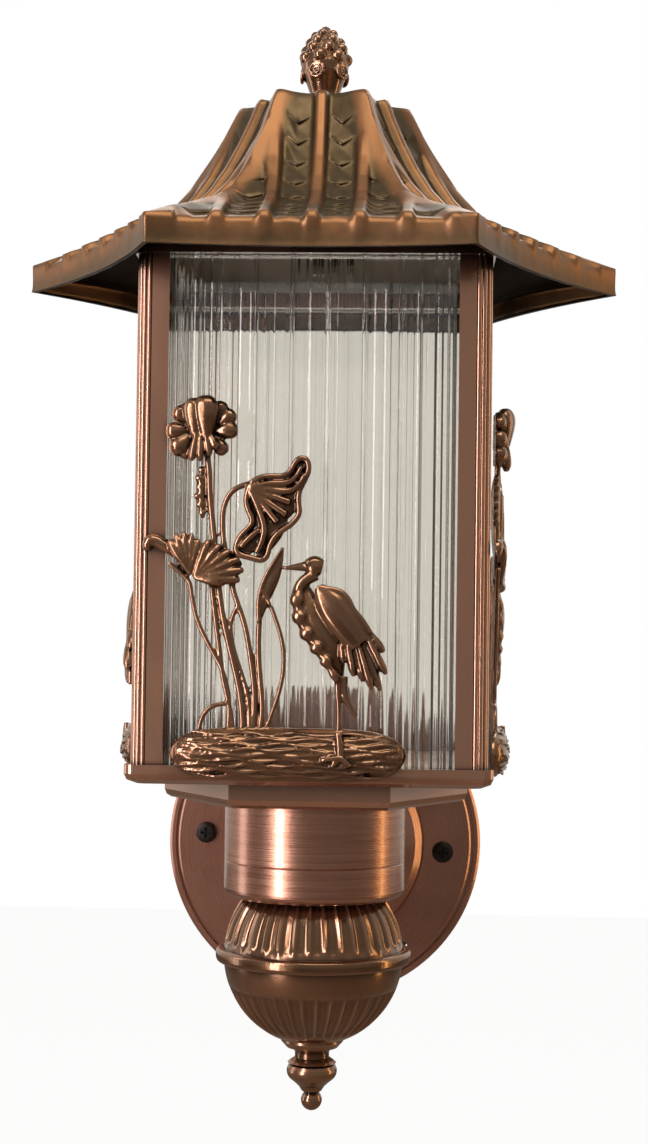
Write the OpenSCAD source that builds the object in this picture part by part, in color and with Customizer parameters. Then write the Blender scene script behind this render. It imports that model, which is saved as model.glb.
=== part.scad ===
// Wall lantern with a hexagonal tiled roof, a square glazed body and a fluted globe below.
// The origin is the middle of the wall plate on the wall, Y points into the wall and Z up.

/* [Wall plate] */
// Distance from the wall to the middle of the lantern
axis_out = 116; // [108:1:140]
// Radius of the wall canopy
canopy_r = 75; // [72:0.5:85]
// How far the flat ring of the canopy stands out
canopy_face = 13; // [11:0.5:18]
// How far the middle of the canopy stands out
canopy_out = 26; // [22:0.5:32]
// Radius of the raised dome of the canopy
dome_r = 48; // [40:0.5:52]
// Wall thickness of the canopy
canopy_t = 1.5; // [1:0.1:2]
// Width of the groove inside the rim of the canopy
groove_w = 1.8; // [1:0.1:2.5]
// Distance of each canopy screw from the middle
canopy_screw_r = 57; // [54:0.5:60]
// Tilt of the line through the two canopy screws
canopy_screw_tilt = 3.8; // [0:0.1:10]
// Radius of the mounting plate
mount_r = 64; // [62:0.5:66]
// Thickness of the mounting plate
mount_t = 2; // [1.5:0.1:3]
// Distance between the two wall slots
slot_spacing = 90; // [80:1:100]
// Radius of the cable entry
cable_r = 11; // [8:0.5:13]
// Thickness of the wall gasket
gasket_t = 2; // [1:0.1:3]

/* [Arm and collar] */
// Radius of the arm where it meets the collar
arm_r = 8.5; // [7.5:0.1:9]
// Radius of the arm where it meets the canopy
arm_foot_r = 15; // [12:0.5:16]
// Radius of the threaded pipe in the arm
pipe_r = 5; // [4:0.1:5.5]
// Radius of the passage in the pipe
pipe_bore_r = 3.6; // [2.5:0.1:4]
// Radius of the collar
collar_r = 38.7; // [36:0.1:42]
// Height of the collar
collar_h = 41; // [38:0.5:50]
// How far the collar reaches below the middle of the arm
collar_drop = 12; // [12:0.5:15]
// Wall thickness of the collar
collar_t = 2; // [1.5:0.1:3]
// Radius of the rounded lower edge of the collar
collar_round = 3.5; // [2:0.1:3.5]

/* [Globe] */
// Radius of the globe
globe_r = 38.3; // [36:0.1:40]
// Distance from the collar down to the middle of the globe
globe_drop = 25; // [22:0.5:28]
// Distance from the middle of the globe to its flat bottom
globe_depth = 35.5; // [33:0.1:36]
// Wall thickness of the globe
globe_t = 2; // [1.8:0.1:3]
// Number of flutes round the globe
flutes = 36; // [30:1:38]
// Depth of a flute
flute_deep = 1.1; // [0.5:0.1:1.2]
// How far the rim of the globe stands out
band_out = 3.4; // [2:0.1:4]
// Height of the rim of the globe
band_h = 6; // [4:0.1:7]
// Length of the turned drop finial
drop_h = 30.9; // [28:0.1:36]
// Radius of the central stem
stem_r = 4; // [3:0.1:4.5]

/* [Body] */
// Half the width of the body over the corner posts
body_half = 71; // [68:0.5:72]
// Height of the glazed body
body_h = 203.5; // [150:0.5:260]
// Radius of the hexagonal base to its corners
base_r = 65; // [58:0.5:68]
// Height of the hexagonal base
base_h = 10.4; // [8:0.1:14]
// Wall thickness of the hexagonal base
base_t = 3; // [2:0.1:4]
// How far the tray stands out beyond the corner posts
tray_out = 2; // [1.2:0.1:4]
// Height of the tray
tray_h = 7.6; // [7:0.1:12]
// Width of a corner post
post_w = 13.4; // [13:0.1:15]
// Radius of one reed on a corner post
reed_r = 1.15; // [0.9:0.05:1.3]
// Thickness of the glass
glass_t = 4; // [3:0.1:4.2]
// Distance between two ribs of the glass
rib_pitch = 14.4; // [12:0.1:18]
// Radius of one rib of the glass
rib_r = 0.9; // [0.6:0.1:1.2]
// Set-back of the glass behind the face of the posts
glass_back = 3.5; // [3:0.1:4]
// How deep the glass sits in a post
glass_in = 3.6; // [3:0.1:3.8]
// Height of the header frame
header_h = 7; // [6:0.1:7]
// Width of the header frame
header_w = 14; // [13.5:0.1:15]
// Distance from the face of the posts in to the side of the ceiling pan
pan_edge = 13; // [13:0.5:20]
// Height of the ceiling pan above the header
pan_h = 5.7; // [4:0.1:6]
// Sheet thickness of the ceiling pan
pan_t = 1.2; // [1:0.1:1.5]

/* [Roof] */
// How far the corners of the eave reach past the faces of the body
eave_out = 56; // [50:0.5:64]
// Radius of the top of the roof to its corners
crown_r = 33; // [30:0.5:36]
// Height of the eave band under the channels
fascia_h = 8; // [7:0.1:10]
// How far the eave band reaches below the header
eave_drop = 3.8; // [2:0.1:6]
// Slope of the brim
brim_slope = 0.37; // [0.37:0.01:0.45]
// How far inside the faces of the body the brim turns into the steep part
kink_in = 1; // [-5:0.5:9]
// Extra height of the steep part
sweep_h = 41.5; // [30:0.5:50]
// How sharply the steep part curves
sweep_pow = 2.1; // [1.6:0.05:2.6]
// How far each side of the eave curves in
eave_sag = 6.5; // [0:0.5:9]
// Thickness of the roof
roof_t = 2.2; // [1.8:0.1:2.4]
// Distance between two ridges
ridge_pitch = 18.2; // [17.6:0.1:18.8]
// Height of a ridge over the channels
ridge_h = 3.8; // [2:0.1:4.2]
// Half the width of a ridge at its foot
ridge_half = 3.6; // [3:0.1:4.2]
// Half the width of a hip at its foot
hip_half = 7; // [5:0.1:8]
// Number of tiles down a channel
tiles = 9; // [6:1:10]
// Height of the lip of a tile
tile_h = 1.3; // [0.6:0.1:1.6]
// How far the middle of a tile hangs below its edges
tile_drop = 2.4; // [1:0.1:3]
// Radius of the rod that holds the roof
rod_r = 3; // [2.5:0.1:3.5]
// Height of the bud finial
bud_h = 38.2; // [34:0.1:44]

/* [Relief] */
// Thickness of the pond at its middle
pond_out = 8; // [6:0.5:10]
// Size of the lotus and crane casting
relief_scale = 1; // [0.9:0.01:1.05]
// How far the foot of the casting sits above the lower edge of the tray
relief_up = 1.6; // [1:0.1:2.5]

/* [Light] */
// Length of the light bar
bar_length = 90; // [60:1:100]
// Width of the light bar
bar_w = 14; // [10:0.5:18]
// Distance from the side of the ceiling pan in to the middle of the light bar
bar_edge = 13; // [11:0.5:18]
// Distance between the two wire joints
joint_spacing = 10.2; // [9:0.1:14]

/* [Hidden] */
$fn = 64;

function mix(a, b, s) = a + (b - a) * s;

// Clearances
fit = 0.3;
cut = 1;
screw_fit = 0.2;

// Heights, worked out upwards from the arm
collar_z = -collar_drop;
base_z = collar_z + collar_h;
tray_z = base_z + base_h;
body_z = tray_z + tray_h;
header_z = body_z + body_h;
pan_z = header_z + header_h;
ceiling_z = pan_z + pan_h - pan_t;
eave_z = header_z - eave_drop;

// Widths that follow from the body
tray_half = body_half + tray_out;
pan_half = body_half - pan_edge;
bar_off = pan_half - bar_edge;
globe_z = collar_z - globe_drop;
globe_end = globe_z - globe_depth;

// Wall plate
rim_out = canopy_face - 3;
groove_out = rim_out - 2.5;
groove_r = canopy_r - 2.8;
bead_r = groove_r - groove_w;
flat_r = arm_foot_r + 1;
gasket_r = canopy_r - 0.5;
gasket_w = 5;
slot_l = 8;
slot_r = 2.5;
nut_boss_r = 4.5;
nut_boss_h = 7;
pan_head_r = 5;
pan_head_h = 3.4;
canopy_shank_r = 2.4;
weep_r = 2.2;
weep_at = [62, -52];
terminal = [30, 12, 14];
terminal_z = -25;
earth_at = [-26, 22];

// Corner posts: the slots for the glass, the reeded corner and the screw port
slot_deep = glass_in + 0.4;
slot_wide = glass_t + 2 * fit;
reed_corner = 6.5;
reed_arc = reed_corner - reed_r;
reeds = 4;
port_at = 6.2;
port_r = 1.7;
port_l = 18;
port_head_r = 3.4;
port_head_h = 2.4;

// Roof: v is the distance from the axis square to a side, u runs along the side
crown_v = crown_r * cos(30);
crown_half = crown_r / 2;
eave_r = body_half + eave_out;
eave_v = eave_r * cos(30);
kink_v = body_half - kink_in;
fascia_lean = 1.6;
edge_v = eave_v - fascia_lean;
edge_half = edge_v * tan(30);
lip_h = 2;
lip_out = fascia_lean - 0.7;
lip_t = 2.6;
channel_z = eave_z + fascia_h;
crown_z = base_height(crown_v);
crown_t = 2.6;
crown_round = 1.5;
side_ridges = 3;
rod_in = 9;

// Casting: points are [across, up] on the face of the body, in millimetres
petals = [
    [100, 15, 4.6, 4.5], [74, 16, 5, 5], [130, 14, 3.4, 2.5], [48, 13.5, 3.4, 2.5],
    [20, 14, 3.2, 2], [160, 14, 3.4, 2], [190, 15, 3.8, 2.5], [216, 14.5, 3.6, 3],
    [-14, 14, 3.4, 3], [-46, 12, 3, 3.5], [-76, 10.5, 2.4, 4], [252, 11, 2.8, 3.8]
];
lotus_at = [-42.5, 137.5];
fan_at = [-43.5, 80.5];
fan_tips = [
    [-55.5, 92], [-52, 95.5], [-47.5, 96.5], [-42, 95.5],
    [-36.5, 93], [-31, 90], [-26, 86], [-28.5, 80]
];
feather_at = [13.5, 59];
feather_tips = [
    [11.5, 43.5], [15.5, 44.5], [19, 41], [21.5, 37], [25.5, 36], [28, 42], [27, 53]
];
stems = [
    [[-41.5, 128], [-39.5, 111], [-38, 95], [-35, 72], [-31, 48], [-27.5, 12]],
    [[-42, 105], [-40.5, 93], [-37.5, 75], [-32.5, 52], [-28, 32], [-25.5, 12]],
    [[-25, 117], [-33.5, 112], [-36, 102], [-34, 91], [-27, 56], [-24, 12]],
    [[-44, 82], [-47.5, 69.5], [-43.5, 56], [-35.5, 46], [-32.5, 32], [-31, 12]],
    [[-20, 65], [-22, 52], [-20, 36], [-21.5, 13]],
    [[-15.5, 67], [-11.5, 56], [-11, 44.5], [-14, 30], [-19, 19], [-21.5, 12]],
    [[-28, 80], [-30.5, 71.5], [-28, 65], [-24.5, 48], [-23, 32], [-23, 12]],
    [[-43.5, 22], [-41, 29.5], [-36.5, 31.5], [-31, 30]]
];
waves = [
    [-38, 17.5, 18], [-12, 18.5, 26], [18, 17, 22], [-27, 13.5, 26], [6, 14, 22],
    [-42, 9.5, 14], [-16, 9.5, 24], [15, 9.5, 26], [-6, 5, 22]
];

copper = "#9c5a3c";
dark_copper = "#5a3a2c";
roof_copper = "#a8663c";
steel = "#9a9c9e";
black = "#1c1c1c";
clear = [0.86, 0.92, 0.9, 0.45];

module at_axis() translate([0, -axis_out, 0]) children();
module off_wall() rotate([90, 0, 0]) children();
module four_corners() for (sx = [-1, 1], sy = [-1, 1]) scale_flip(sx, sy) children();
module scale_flip(sx, sy) mirror([sx < 0 ? 1 : 0, 0, 0]) mirror([0, sy < 0 ? 1 : 0, 0]) children();

// Flat ring of rubber between the canopy and the wall
module wall_gasket() color(black) off_wall() difference() {
    cylinder(r = gasket_r, h = gasket_t);
    translate([0, 0, -cut]) cylinder(r = gasket_r - gasket_w, h = gasket_t + 2 * cut);
}

module at_canopy_screws() for (side = [0, 180])
    rotate(side - canopy_screw_tilt) translate([canopy_screw_r, 0, 0]) children();

// Pressed steel plate screwed to the wall, with two tapped bosses for the canopy screws
module mounting_plate() color(steel) off_wall() difference() {
    union() {
        cylinder(r = mount_r, h = mount_t);
        at_canopy_screws() cylinder(r = nut_boss_r, h = mount_t + nut_boss_h);
        translate([earth_at[0], earth_at[1], 0]) cylinder(r = nut_boss_r, h = mount_t + 4);
    }
    translate([0, 0, -cut]) cylinder(r = cable_r, h = mount_t + 2 * cut);
    for (side = [-1, 1]) translate([0, side * slot_spacing / 2, -cut]) wall_slot();
    translate([0, 0, -cut]) at_canopy_screws()
        cylinder(r = canopy_shank_r + screw_fit, h = mount_t + nut_boss_h + 2 * cut);
    translate([earth_at[0], earth_at[1], -cut]) cylinder(r = 2 + screw_fit, h = mount_t + 4 + 2 * cut);
}

module wall_slot() union() {
    for (end = [-1, 1]) translate([0, end * slot_l / 2, 0]) cylinder(r = slot_r, h = mount_t + 2 * cut);
    translate([-slot_r, -slot_l / 2, 0]) cube([2 * slot_r, slot_l, mount_t + 2 * cut]);
}

// One quarter of an ellipse between the flat ring and the middle of the dome, run inwards or outwards
function dome_curve(inset, way) = [for (k = [0:6]) let (a = way > 0 ? 15 * k : 90 - 15 * k)
    [flat_r + (dome_r - inset - flat_r) * cos(a),
     canopy_face - inset + (canopy_out - canopy_face) * sin(a)]];

// Spun copper canopy with a rolled rim, a groove and a shallow dome
module wall_canopy() color(copper) off_wall() difference() {
    rotate_extrude() polygon(concat(
        [[canopy_r, gasket_t], [canopy_r, rim_out - 1.2], [canopy_r - 1.2, rim_out],
         [groove_r, rim_out], [groove_r, groove_out], [bead_r, groove_out],
         [bead_r, canopy_face - 0.8], [bead_r - 0.8, canopy_face]],
        dome_curve(0, 1), [[0, canopy_out], [0, canopy_out - canopy_t]], dome_curve(canopy_t, -1),
        [[bead_r - canopy_t, canopy_face - canopy_t], [bead_r - canopy_t, groove_out - canopy_t],
         [canopy_r - canopy_t, groove_out - canopy_t], [canopy_r - canopy_t, gasket_t]]));
    translate([0, 0, canopy_out - canopy_t - cut])
        cylinder(r = pipe_r + fit, h = canopy_t + 2 * cut);
    translate([0, 0, canopy_face - canopy_t - cut]) {
        at_canopy_screws() cylinder(r = canopy_shank_r + screw_fit, h = canopy_t + 2 * cut);
        rotate(weep_at[1]) translate([weep_at[0], 0, 0]) cylinder(r = weep_r, h = canopy_t + 2 * cut);
    }
}

// Rounded head with a cross recess, standing on z = 0
module pan_head(r, h) difference() {
    rotate_extrude()
        polygon([[0, 0], [r, 0], [r, h * 0.45], [r * 0.9, h * 0.75], [r * 0.65, h * 0.93], [0, h]]);
    for (turn = [0, 90]) rotate(turn) translate([-r * 0.5, -r * 0.11, h * 0.45]) cube([r, r * 0.22, h]);
}

module canopy_screws() color(black) off_wall() at_canopy_screws() union() {
    translate([0, 0, canopy_face]) pan_head(pan_head_r, pan_head_h);
    translate([0, 0, gasket_t]) cylinder(r = canopy_shank_r, h = canopy_face - gasket_t);
}

// Three-way terminal block on the mounting plate
module terminal_block() color("#e8e4d8") off_wall()
    translate([-terminal[0] / 2, terminal_z - terminal[2] / 2, mount_t]) difference() {
        cube([terminal[0], terminal[2], terminal[1]]);
        for (way = [0:2]) translate([terminal[0] / 6 * (2 * way + 1), -cut, terminal[1] / 2])
            rotate([-90, 0, 0]) cylinder(r = 2.2, h = terminal[2] + 2 * cut);
    }

module earth_screw() color("#c9a24a") off_wall() translate([earth_at[0], earth_at[1], 0]) union() {
    translate([0, 0, mount_t + 4]) pan_head(3.6, 2.6);
    translate([0, 0, 0.5]) cylinder(r = 2, h = mount_t + 3.5);
}

// Turned arm: a flared foot on the canopy, a waist, and a saddle end on the collar
module arm() color(copper) difference() {
    off_wall() rotate_extrude() polygon(concat(
        [[pipe_r + fit, canopy_out], [arm_foot_r, canopy_out], [arm_foot_r, canopy_out + 3]],
        [for (a = [15:15:90]) [arm_foot_r - (arm_foot_r - arm_r) * sin(a), canopy_out + 15 - 12 * cos(a)]],
        [[arm_r, axis_out - collar_r + 3], [pipe_r + fit, axis_out - collar_r + 3]]));
    at_axis() translate([0, 0, collar_z]) cylinder(r = collar_r, h = collar_h);
}

// Threaded pipe through the arm that carries the lantern and the wires
module arm_pipe() color(steel) off_wall() translate([0, 0, pipe_start]) difference() {
    cylinder(r = pipe_r, h = pipe_end - pipe_start);
    translate([0, 0, -cut]) cylinder(r = pipe_bore_r, h = pipe_end - pipe_start + 2 * cut);
}

pipe_nut_r = 8;
pipe_nut_h = 4;
collar_in = axis_out - sqrt(pow(collar_r - collar_t, 2) - pow(pipe_nut_r, 2));
pipe_start = canopy_out - canopy_t - pipe_nut_h - 2;
pipe_end = collar_in + pipe_nut_h + 2;

module hex_nut(r, h, bore) difference() {
    cylinder(r = r, h = h, $fn = 6);
    translate([0, 0, -cut]) cylinder(r = bore, h = h + 2 * cut);
}

module pipe_nuts() color(steel) off_wall() union() {
    translate([0, 0, canopy_out - canopy_t - pipe_nut_h]) hex_nut(pipe_nut_r, pipe_nut_h, pipe_r + 0.1);
    translate([0, 0, collar_in]) hex_nut(pipe_nut_r, pipe_nut_h, pipe_r + 0.1);
}

// Drawn cup with a rounded lower edge, open at the top, and a fine turned line round it
module collar() color(copper) difference() {
    at_axis() rotate_extrude() polygon(concat(
        [[stem_r + fit, collar_z], [collar_r - collar_round, collar_z]],
        [for (a = [15:15:90]) [collar_r - collar_round + collar_round * sin(a),
                               collar_z + collar_round - collar_round * cos(a)]],
        [[collar_r, collar_z + 14.6], [collar_r - 0.3, collar_z + 15], [collar_r, collar_z + 15.4],
         [collar_r, base_z], [collar_r - collar_t, base_z],
         [collar_r - collar_t, collar_z + collar_round], [collar_r - collar_round, collar_z + collar_t],
         [stem_r + fit, collar_z + collar_t]]));
    off_wall() translate([0, 0, axis_out - collar_r - cut]) cylinder(r = pipe_r + fit, h = collar_t + 3);
}

// Latitudes of the globe
band_lat = asin(band_h / 2 / globe_r);
top_lat = asin(globe_drop / globe_r);
end_lat = asin(globe_depth / globe_r);
flute_ramp = 3.5;
lower_start = -21;
lower_end = -57;

function sphere_arc(r, low, high, steps) = [for (i = [0:steps])
    [r * cos(low + (high - low) * i / steps), r * sin(low + (high - low) * i / steps)]];

// Rows of latitudes: the flutes start and end within flute_ramp degrees
upper_low = band_lat + 3;
upper_rows = [0, upper_low, upper_low + flute_ramp, mix(upper_low, top_lat, 0.45), mix(upper_low, top_lat, 0.72),
    top_lat];
lower_rows = [-end_lat, lower_end, lower_end + flute_ramp, mix(lower_end, lower_start, 0.4),
    mix(lower_end, lower_start, 0.7), lower_start - flute_ramp, lower_start, 0];

// Three points round each flute: the thin crest and the two sides of its floor
crest_share = 0.2;
around = [for (k = [0:flutes - 1]) each
    [[k, 0], [k + crest_share, 1], [k + 1 - crest_share, 1]]];
function share_in(lat, low, high) = max(0, min(1, (lat - low) / flute_ramp, (high - lat) / flute_ramp));
function flute_point(lat, low, high, p) = let (
    r = globe_r - flute_deep * p[1] * share_in(lat, low, high))
    [r * cos(lat) * cos(360 / flutes * p[0]), r * cos(lat) * sin(360 / flutes * p[0]), globe_r * sin(lat)];

// Solid part of the globe between the lowest and the highest row, with flutes from low to high
module fluted_zone(lats, low, high) {
    n = len(around);
    last = len(lats) - 1;
    polyhedron(
        points = concat([for (lat = lats, p = around) flute_point(lat, low, high, p)],
            [[0, 0, globe_r * sin(lats[0])], [0, 0, globe_r * sin(lats[last])]]),
        faces = concat(
            [for (i = [0:last - 1], k = [0:n - 1]) each let (a = i * n + k, b = i * n + (k + 1) % n)
                [[a, a + n, b + n], [a, b + n, b]]],
            [for (k = [0:n - 1]) [(last + 1) * n, k, (k + 1) % n]],
            [for (k = [0:n - 1]) [(last + 1) * n + 1, last * n + (k + 1) % n, last * n + k]]));
}

// Upper half of the globe with the rolled rim, fluted from the rim up into the collar
module globe_upper() color(dark_copper) at_axis() translate([0, 0, globe_z]) difference() {
    union() {
        fluted_zone(upper_rows, upper_low, 90);
        rotate_extrude() polygon([
            [globe_r - 1, band_h / 2], [globe_r + band_out - 1.2, band_h / 2],
            [globe_r + band_out, band_h / 2 - 1.2], [globe_r + band_out, 1.2 - band_h / 2],
            [globe_r + band_out - 1.2, -band_h / 2], [globe_r + fit, -band_h / 2],
            [globe_r + fit, 0], [globe_r - 1, 0]]);
    }
    rotate_extrude() polygon(concat([[0, -cut], [globe_r - globe_t, -cut]],
        sphere_arc(globe_r - globe_t, 0, asin((globe_drop - globe_t) / (globe_r - globe_t)), 6),
        [[0, globe_drop - globe_t]]));
    cylinder(r = stem_r + fit, h = globe_drop + cut);
}

// Lower half of the globe: a plain zone, then flutes that run down to the drop finial
module globe_lower() color(dark_copper) at_axis() translate([0, 0, globe_z]) difference() {
    rotate(180 / flutes) fluted_zone(lower_rows, lower_end, lower_start);
    rotate_extrude() polygon(concat([[0, cut], [globe_r - globe_t, cut]],
        sphere_arc(globe_r - globe_t, 0, -asin((globe_depth - globe_t) / (globe_r - globe_t)), 8),
        [[0, globe_t - globe_depth]]));
    translate([0, 0, -globe_depth - cut]) cylinder(r = stem_r + fit, h = globe_depth + cut);
}

// Threaded stem that clamps the tray, base, collar, globe and drop finial together
stem_below = 10;
stem_above = 9;
module stem_rod() color(steel) at_axis() translate([0, 0, globe_end - stem_below])
    cylinder(r = stem_r, h = body_z + stem_above - globe_end + stem_below);

module stem_nut() color(steel) at_axis() translate([0, 0, body_z]) union() {
    difference() {
        cylinder(r = 9, h = 1.6);
        translate([0, 0, -cut]) cylinder(r = stem_r + 0.1, h = 4);
    }
    translate([0, 0, 1.6]) hex_nut(7.5, 5.4, stem_r + 0.1);
}

// Turned finial under the globe, with a tapped blind bore for the stem
module drop_finial() color(dark_copper) at_axis() translate([0, 0, globe_end]) difference() {
    rotate_extrude() polygon(concat(
        [[0, 0], [13.3, 0], [13.3, -1.2], [11, -3.8], [8.2, -4.6], [7.3, -6], [7.3, -8.2],
         [9.2, -9.4], [10.4, -10.4]],
        [for (a = [60:-20:-60]) [10.75 - 3.4 * (1 - cos(a)), -14 + 4 * sin(a)]],
        [[7.6, -18.6], [5.6, -20.4], [4.3, -22.4]],
        [for (a = [45:-15:-90]) [4.5 * cos(a), 4.5 - drop_h + 4.5 * sin(a)]]));
    translate([0, 0, -10.5]) cylinder(r = stem_r + 0.1, h = 10.5 + cut);
}

module hexagon(r, h) cylinder(r = r, h = h, $fn = 6);

// Cast hexagonal base, hollow and open at the top, with a softened lower edge
module hex_base() color(copper) at_axis() translate([0, 0, base_z]) difference() {
    hull() {
        translate([0, 0, 3.4]) hexagon(base_r, base_h - 3.4);
        translate([0, 0, 1.2]) hexagon(base_r - 0.9, base_h - 1.2);
        hexagon(base_r - 3, base_h);
    }
    translate([0, 0, base_t]) hexagon(base_r - base_t / cos(30) - 2, base_h);
    translate([0, 0, -cut]) cylinder(r = stem_r + fit, h = base_t + 2 * cut);
}

module rounded_slab(half, r, h) hull() for (sx = [-1, 1], sy = [-1, 1])
    translate([sx * (half - r), sy * (half - r), 0]) cylinder(r = r, h = h, $fn = 32);

port_x = body_half - port_at;
lug_x = [-30, 20];
lug_r = 1.5;
lug_l = 5;
lug_z = tray_h - 2.7;

// Cast tray that carries the posts, the glass and the three castings
module tray() color(copper) at_axis() translate([0, 0, tray_z]) difference() {
    hull() {
        translate([0, 0, 4]) rounded_slab(tray_half, 4, tray_h - 4);
        translate([0, 0, 1.6]) rounded_slab(tray_half - 1, 4, tray_h - 1.6);
        rounded_slab(tray_half - 4.5, 4, tray_h);
    }
    translate([0, 0, -cut]) cylinder(r = stem_r + fit, h = tray_h + 2 * cut);
    four_corners() translate([port_x, port_x, -cut]) {
        cylinder(r = 2, h = tray_h + 2 * cut);
        cylinder(r = port_head_r + screw_fit, h = cut + port_head_h);
    }
    for (turn = [0, -90, 90], x = lug_x) rotate(turn) translate([x, -tray_half - cut, lug_z])
        rotate([-90, 0, 0]) cylinder(r = lug_r + 0.1, h = lug_l + cut + 0.2);
}

// Self-tapping screw with its head down, entering a screw port upwards
module port_screw(through) union() {
    cylinder(r = port_head_r, h = port_head_h);
    cylinder(r = port_r - 0.1, h = through + port_l - 2);
}

module tray_screws() color(steel) at_axis() translate([0, 0, tray_z])
    four_corners() translate([port_x, port_x, 0]) port_screw(tray_h);

// Section of a corner post, with its outer corner at the origin and its body in +X +Y
module post_section() difference() {
    union() {
        translate([reed_corner, 0]) square([post_w - reed_corner, post_w]);
        translate([0, reed_corner]) square([reed_corner, post_w - reed_corner]);
        translate([reed_corner, reed_corner]) circle(r = reed_arc);
        for (k = [0:reeds - 1]) translate([reed_corner, reed_corner]) rotate(180 + 90 * (k + 0.5) / reeds)
            translate([reed_arc, 0]) circle(r = reed_r);
    }
    translate([post_w - slot_deep, glass_back - fit]) square([slot_deep + cut, slot_wide]);
    translate([glass_back - fit, post_w - slot_deep]) square([slot_wide, slot_deep + cut]);
    translate([port_at, port_at]) circle(r = port_r);
}

module post(sx, sy) color(copper) at_axis() scale_flip(sx, sy)
    translate([body_half, body_half, body_z]) rotate(180) linear_extrude(body_h) post_section();

module post_front_left() post(-1, -1);
module post_front_right() post(1, -1);
module post_rear_left() post(-1, 1);
module post_rear_right() post(1, 1);

glass_w = 2 * (body_half - post_w + glass_in);
glass_h = body_h - fit;
rib_shift = -1.6;
ribs = floor((body_half - post_w - 2) / rib_pitch) * 2;

// Clear pane with upright half-round ribs on its outer face, seen from the side given by turn
module glass(turn) color(clear) at_axis() rotate(turn)
    translate([0, -body_half + glass_back, body_z]) intersection() {
        union() {
            translate([-glass_w / 2, 0, 0]) cube([glass_w, glass_t, glass_h]);
            for (k = [0:ribs - 1]) translate([rib_shift + rib_pitch * (k - (ribs - 1) / 2), 0, 0])
                cylinder(r = rib_r, h = glass_h);
        }
        translate([-glass_w / 2, -rib_r, 0]) cube([glass_w, glass_t + rib_r, glass_h]);
    }

module glass_front() glass(0);
module glass_rear() glass(180);
module glass_left() glass(-90);
module glass_right() glass(90);

// Square frame that ties the tops of the posts together and carries the roof
module header_frame() color(dark_copper) at_axis() translate([0, 0, header_z]) difference() {
    rounded_slab(header_half, reed_corner, header_h);
    translate([header_w - header_half, header_w - header_half, -cut])
        cube([2 * (header_half - header_w), 2 * (header_half - header_w), header_h + 2 * cut]);
    four_corners() translate([port_x, port_x, -cut]) {
        cylinder(r = 2, h = header_h + 2 * cut);
        translate([0, 0, cut + header_h - port_head_h]) cylinder(r = port_head_r + screw_fit, h = port_head_h + cut);
    }
    for (turn = [0:90:270]) rotate(turn) translate([pan_screw_at, 0, header_h - 5])
        cylinder(r = 1.6, h = 5 + cut);
}
header_half = body_half + 1;
pan_screw_at = pan_half + 4;

module header_screws() color(steel) at_axis() translate([0, 0, pan_z])
    four_corners() translate([port_x, port_x, 0]) mirror([0, 0, 1]) port_screw(header_h);

pan_flange = 7;
joint_y = -7;
joint_x = 2.6;

// Grey pressed pan that closes the top of the glazed space
module ceiling_pan() color("#8c8f8c") at_axis() translate([0, 0, pan_z]) difference() {
    union() {
        translate([-pan_half - pan_flange, -pan_half - pan_flange, 0])
            cube([2 * (pan_half + pan_flange), 2 * (pan_half + pan_flange), pan_t]);
        translate([-pan_half, -pan_half, 0]) cube([2 * pan_half, 2 * pan_half, pan_h]);
    }
    translate([pan_t - pan_half, pan_t - pan_half, -cut])
        cube([2 * (pan_half - pan_t), 2 * (pan_half - pan_t), pan_h - pan_t + cut]);
    translate([0, 0, -cut]) cylinder(r = rod_r + 0.1, h = pan_h + 2 * cut);
    at_joints() translate([0, 0, -cut]) cylinder(r = grommet_r, h = pan_h + 2 * cut);
    for (turn = [0:90:270]) rotate(turn) translate([pan_screw_at, 0, -cut]) cylinder(r = 1.7, h = pan_t + 2 * cut);
    for (side = [-1, 1]) translate([side * bar_screw_x, -bar_off, -cut]) cylinder(r = 1.6, h = pan_h + 2 * cut);
}
bar_screw_x = bar_length / 2 - 6;

module pan_screws() color(steel) at_axis() translate([0, 0, pan_z])
    for (turn = [0:90:270]) rotate(turn) translate([pan_screw_at, 0, 0]) union() {
        translate([0, 0, pan_t]) pan_head(2.8, 2);
        translate([0, 0, -4]) cylinder(r = 1.45, h = 4 + pan_t);
    }

grommet_r = 3;
wire_r = 1.3;
wire_in = 8.1;
module at_joints() for (side = [-1, 1]) translate([joint_x + side * joint_spacing / 2, joint_y, 0]) children();

// Black grommets where the wires come through the ceiling
module wire_grommets() color(black) at_axis() translate([0, 0, ceiling_z]) at_joints() difference() {
    union() {
        translate([0, 0, -4]) cylinder(r = 3.6, h = 4);
        translate([0, 0, -0.1]) cylinder(r = grommet_r - 0.05, h = pan_t + 1);
    }
    translate([0, 0, -5]) cylinder(r = 2 * wire_r + 0.1, h = pan_t + 8);
}

module joint_wires() color(black) at_axis() at_joints() for (side = [-1, 1])
    translate([side * (wire_r + 0.05), 0, ceiling_z - wire_in]) cylinder(r = wire_r, h = wire_in + pan_t);

// Clear closed-end crimp joints: a flared skirt over the wires and a round-ended barrel
joint_hang = 14.6;
module wire_joints() color(clear) at_axis() translate([0, 0, ceiling_z - joint_hang]) at_joints()
    rotate_extrude()
    polygon(concat([for (a = [-90:15:0]) [2.2 * cos(a), 2.2 + 2.2 * sin(a)]],
        [[2.2, 5.2], [3.2, 6.2], [3.5, 9.2], [2.9, 9.2], [2.75, 6.4], [1.6, 5.4], [1.6, 2.2], [0, 1.4]]));

// Aluminium light bar behind the front of the header, with an opal lens under it
bar_t = 2.4;
lens_h = 2.6;
lens_end = 10;
lens_t = 1;
module light_bar() color(steel) at_axis() translate([0, -bar_off, ceiling_z - bar_t]) difference() {
    translate([-bar_length / 2, -bar_w / 2, 0]) cube([bar_length, bar_w, bar_t]);
    for (side = [-1, 1]) translate([side * bar_screw_x, 0, -cut]) cylinder(r = 1.6, h = bar_t + 2 * cut);
}

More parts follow.
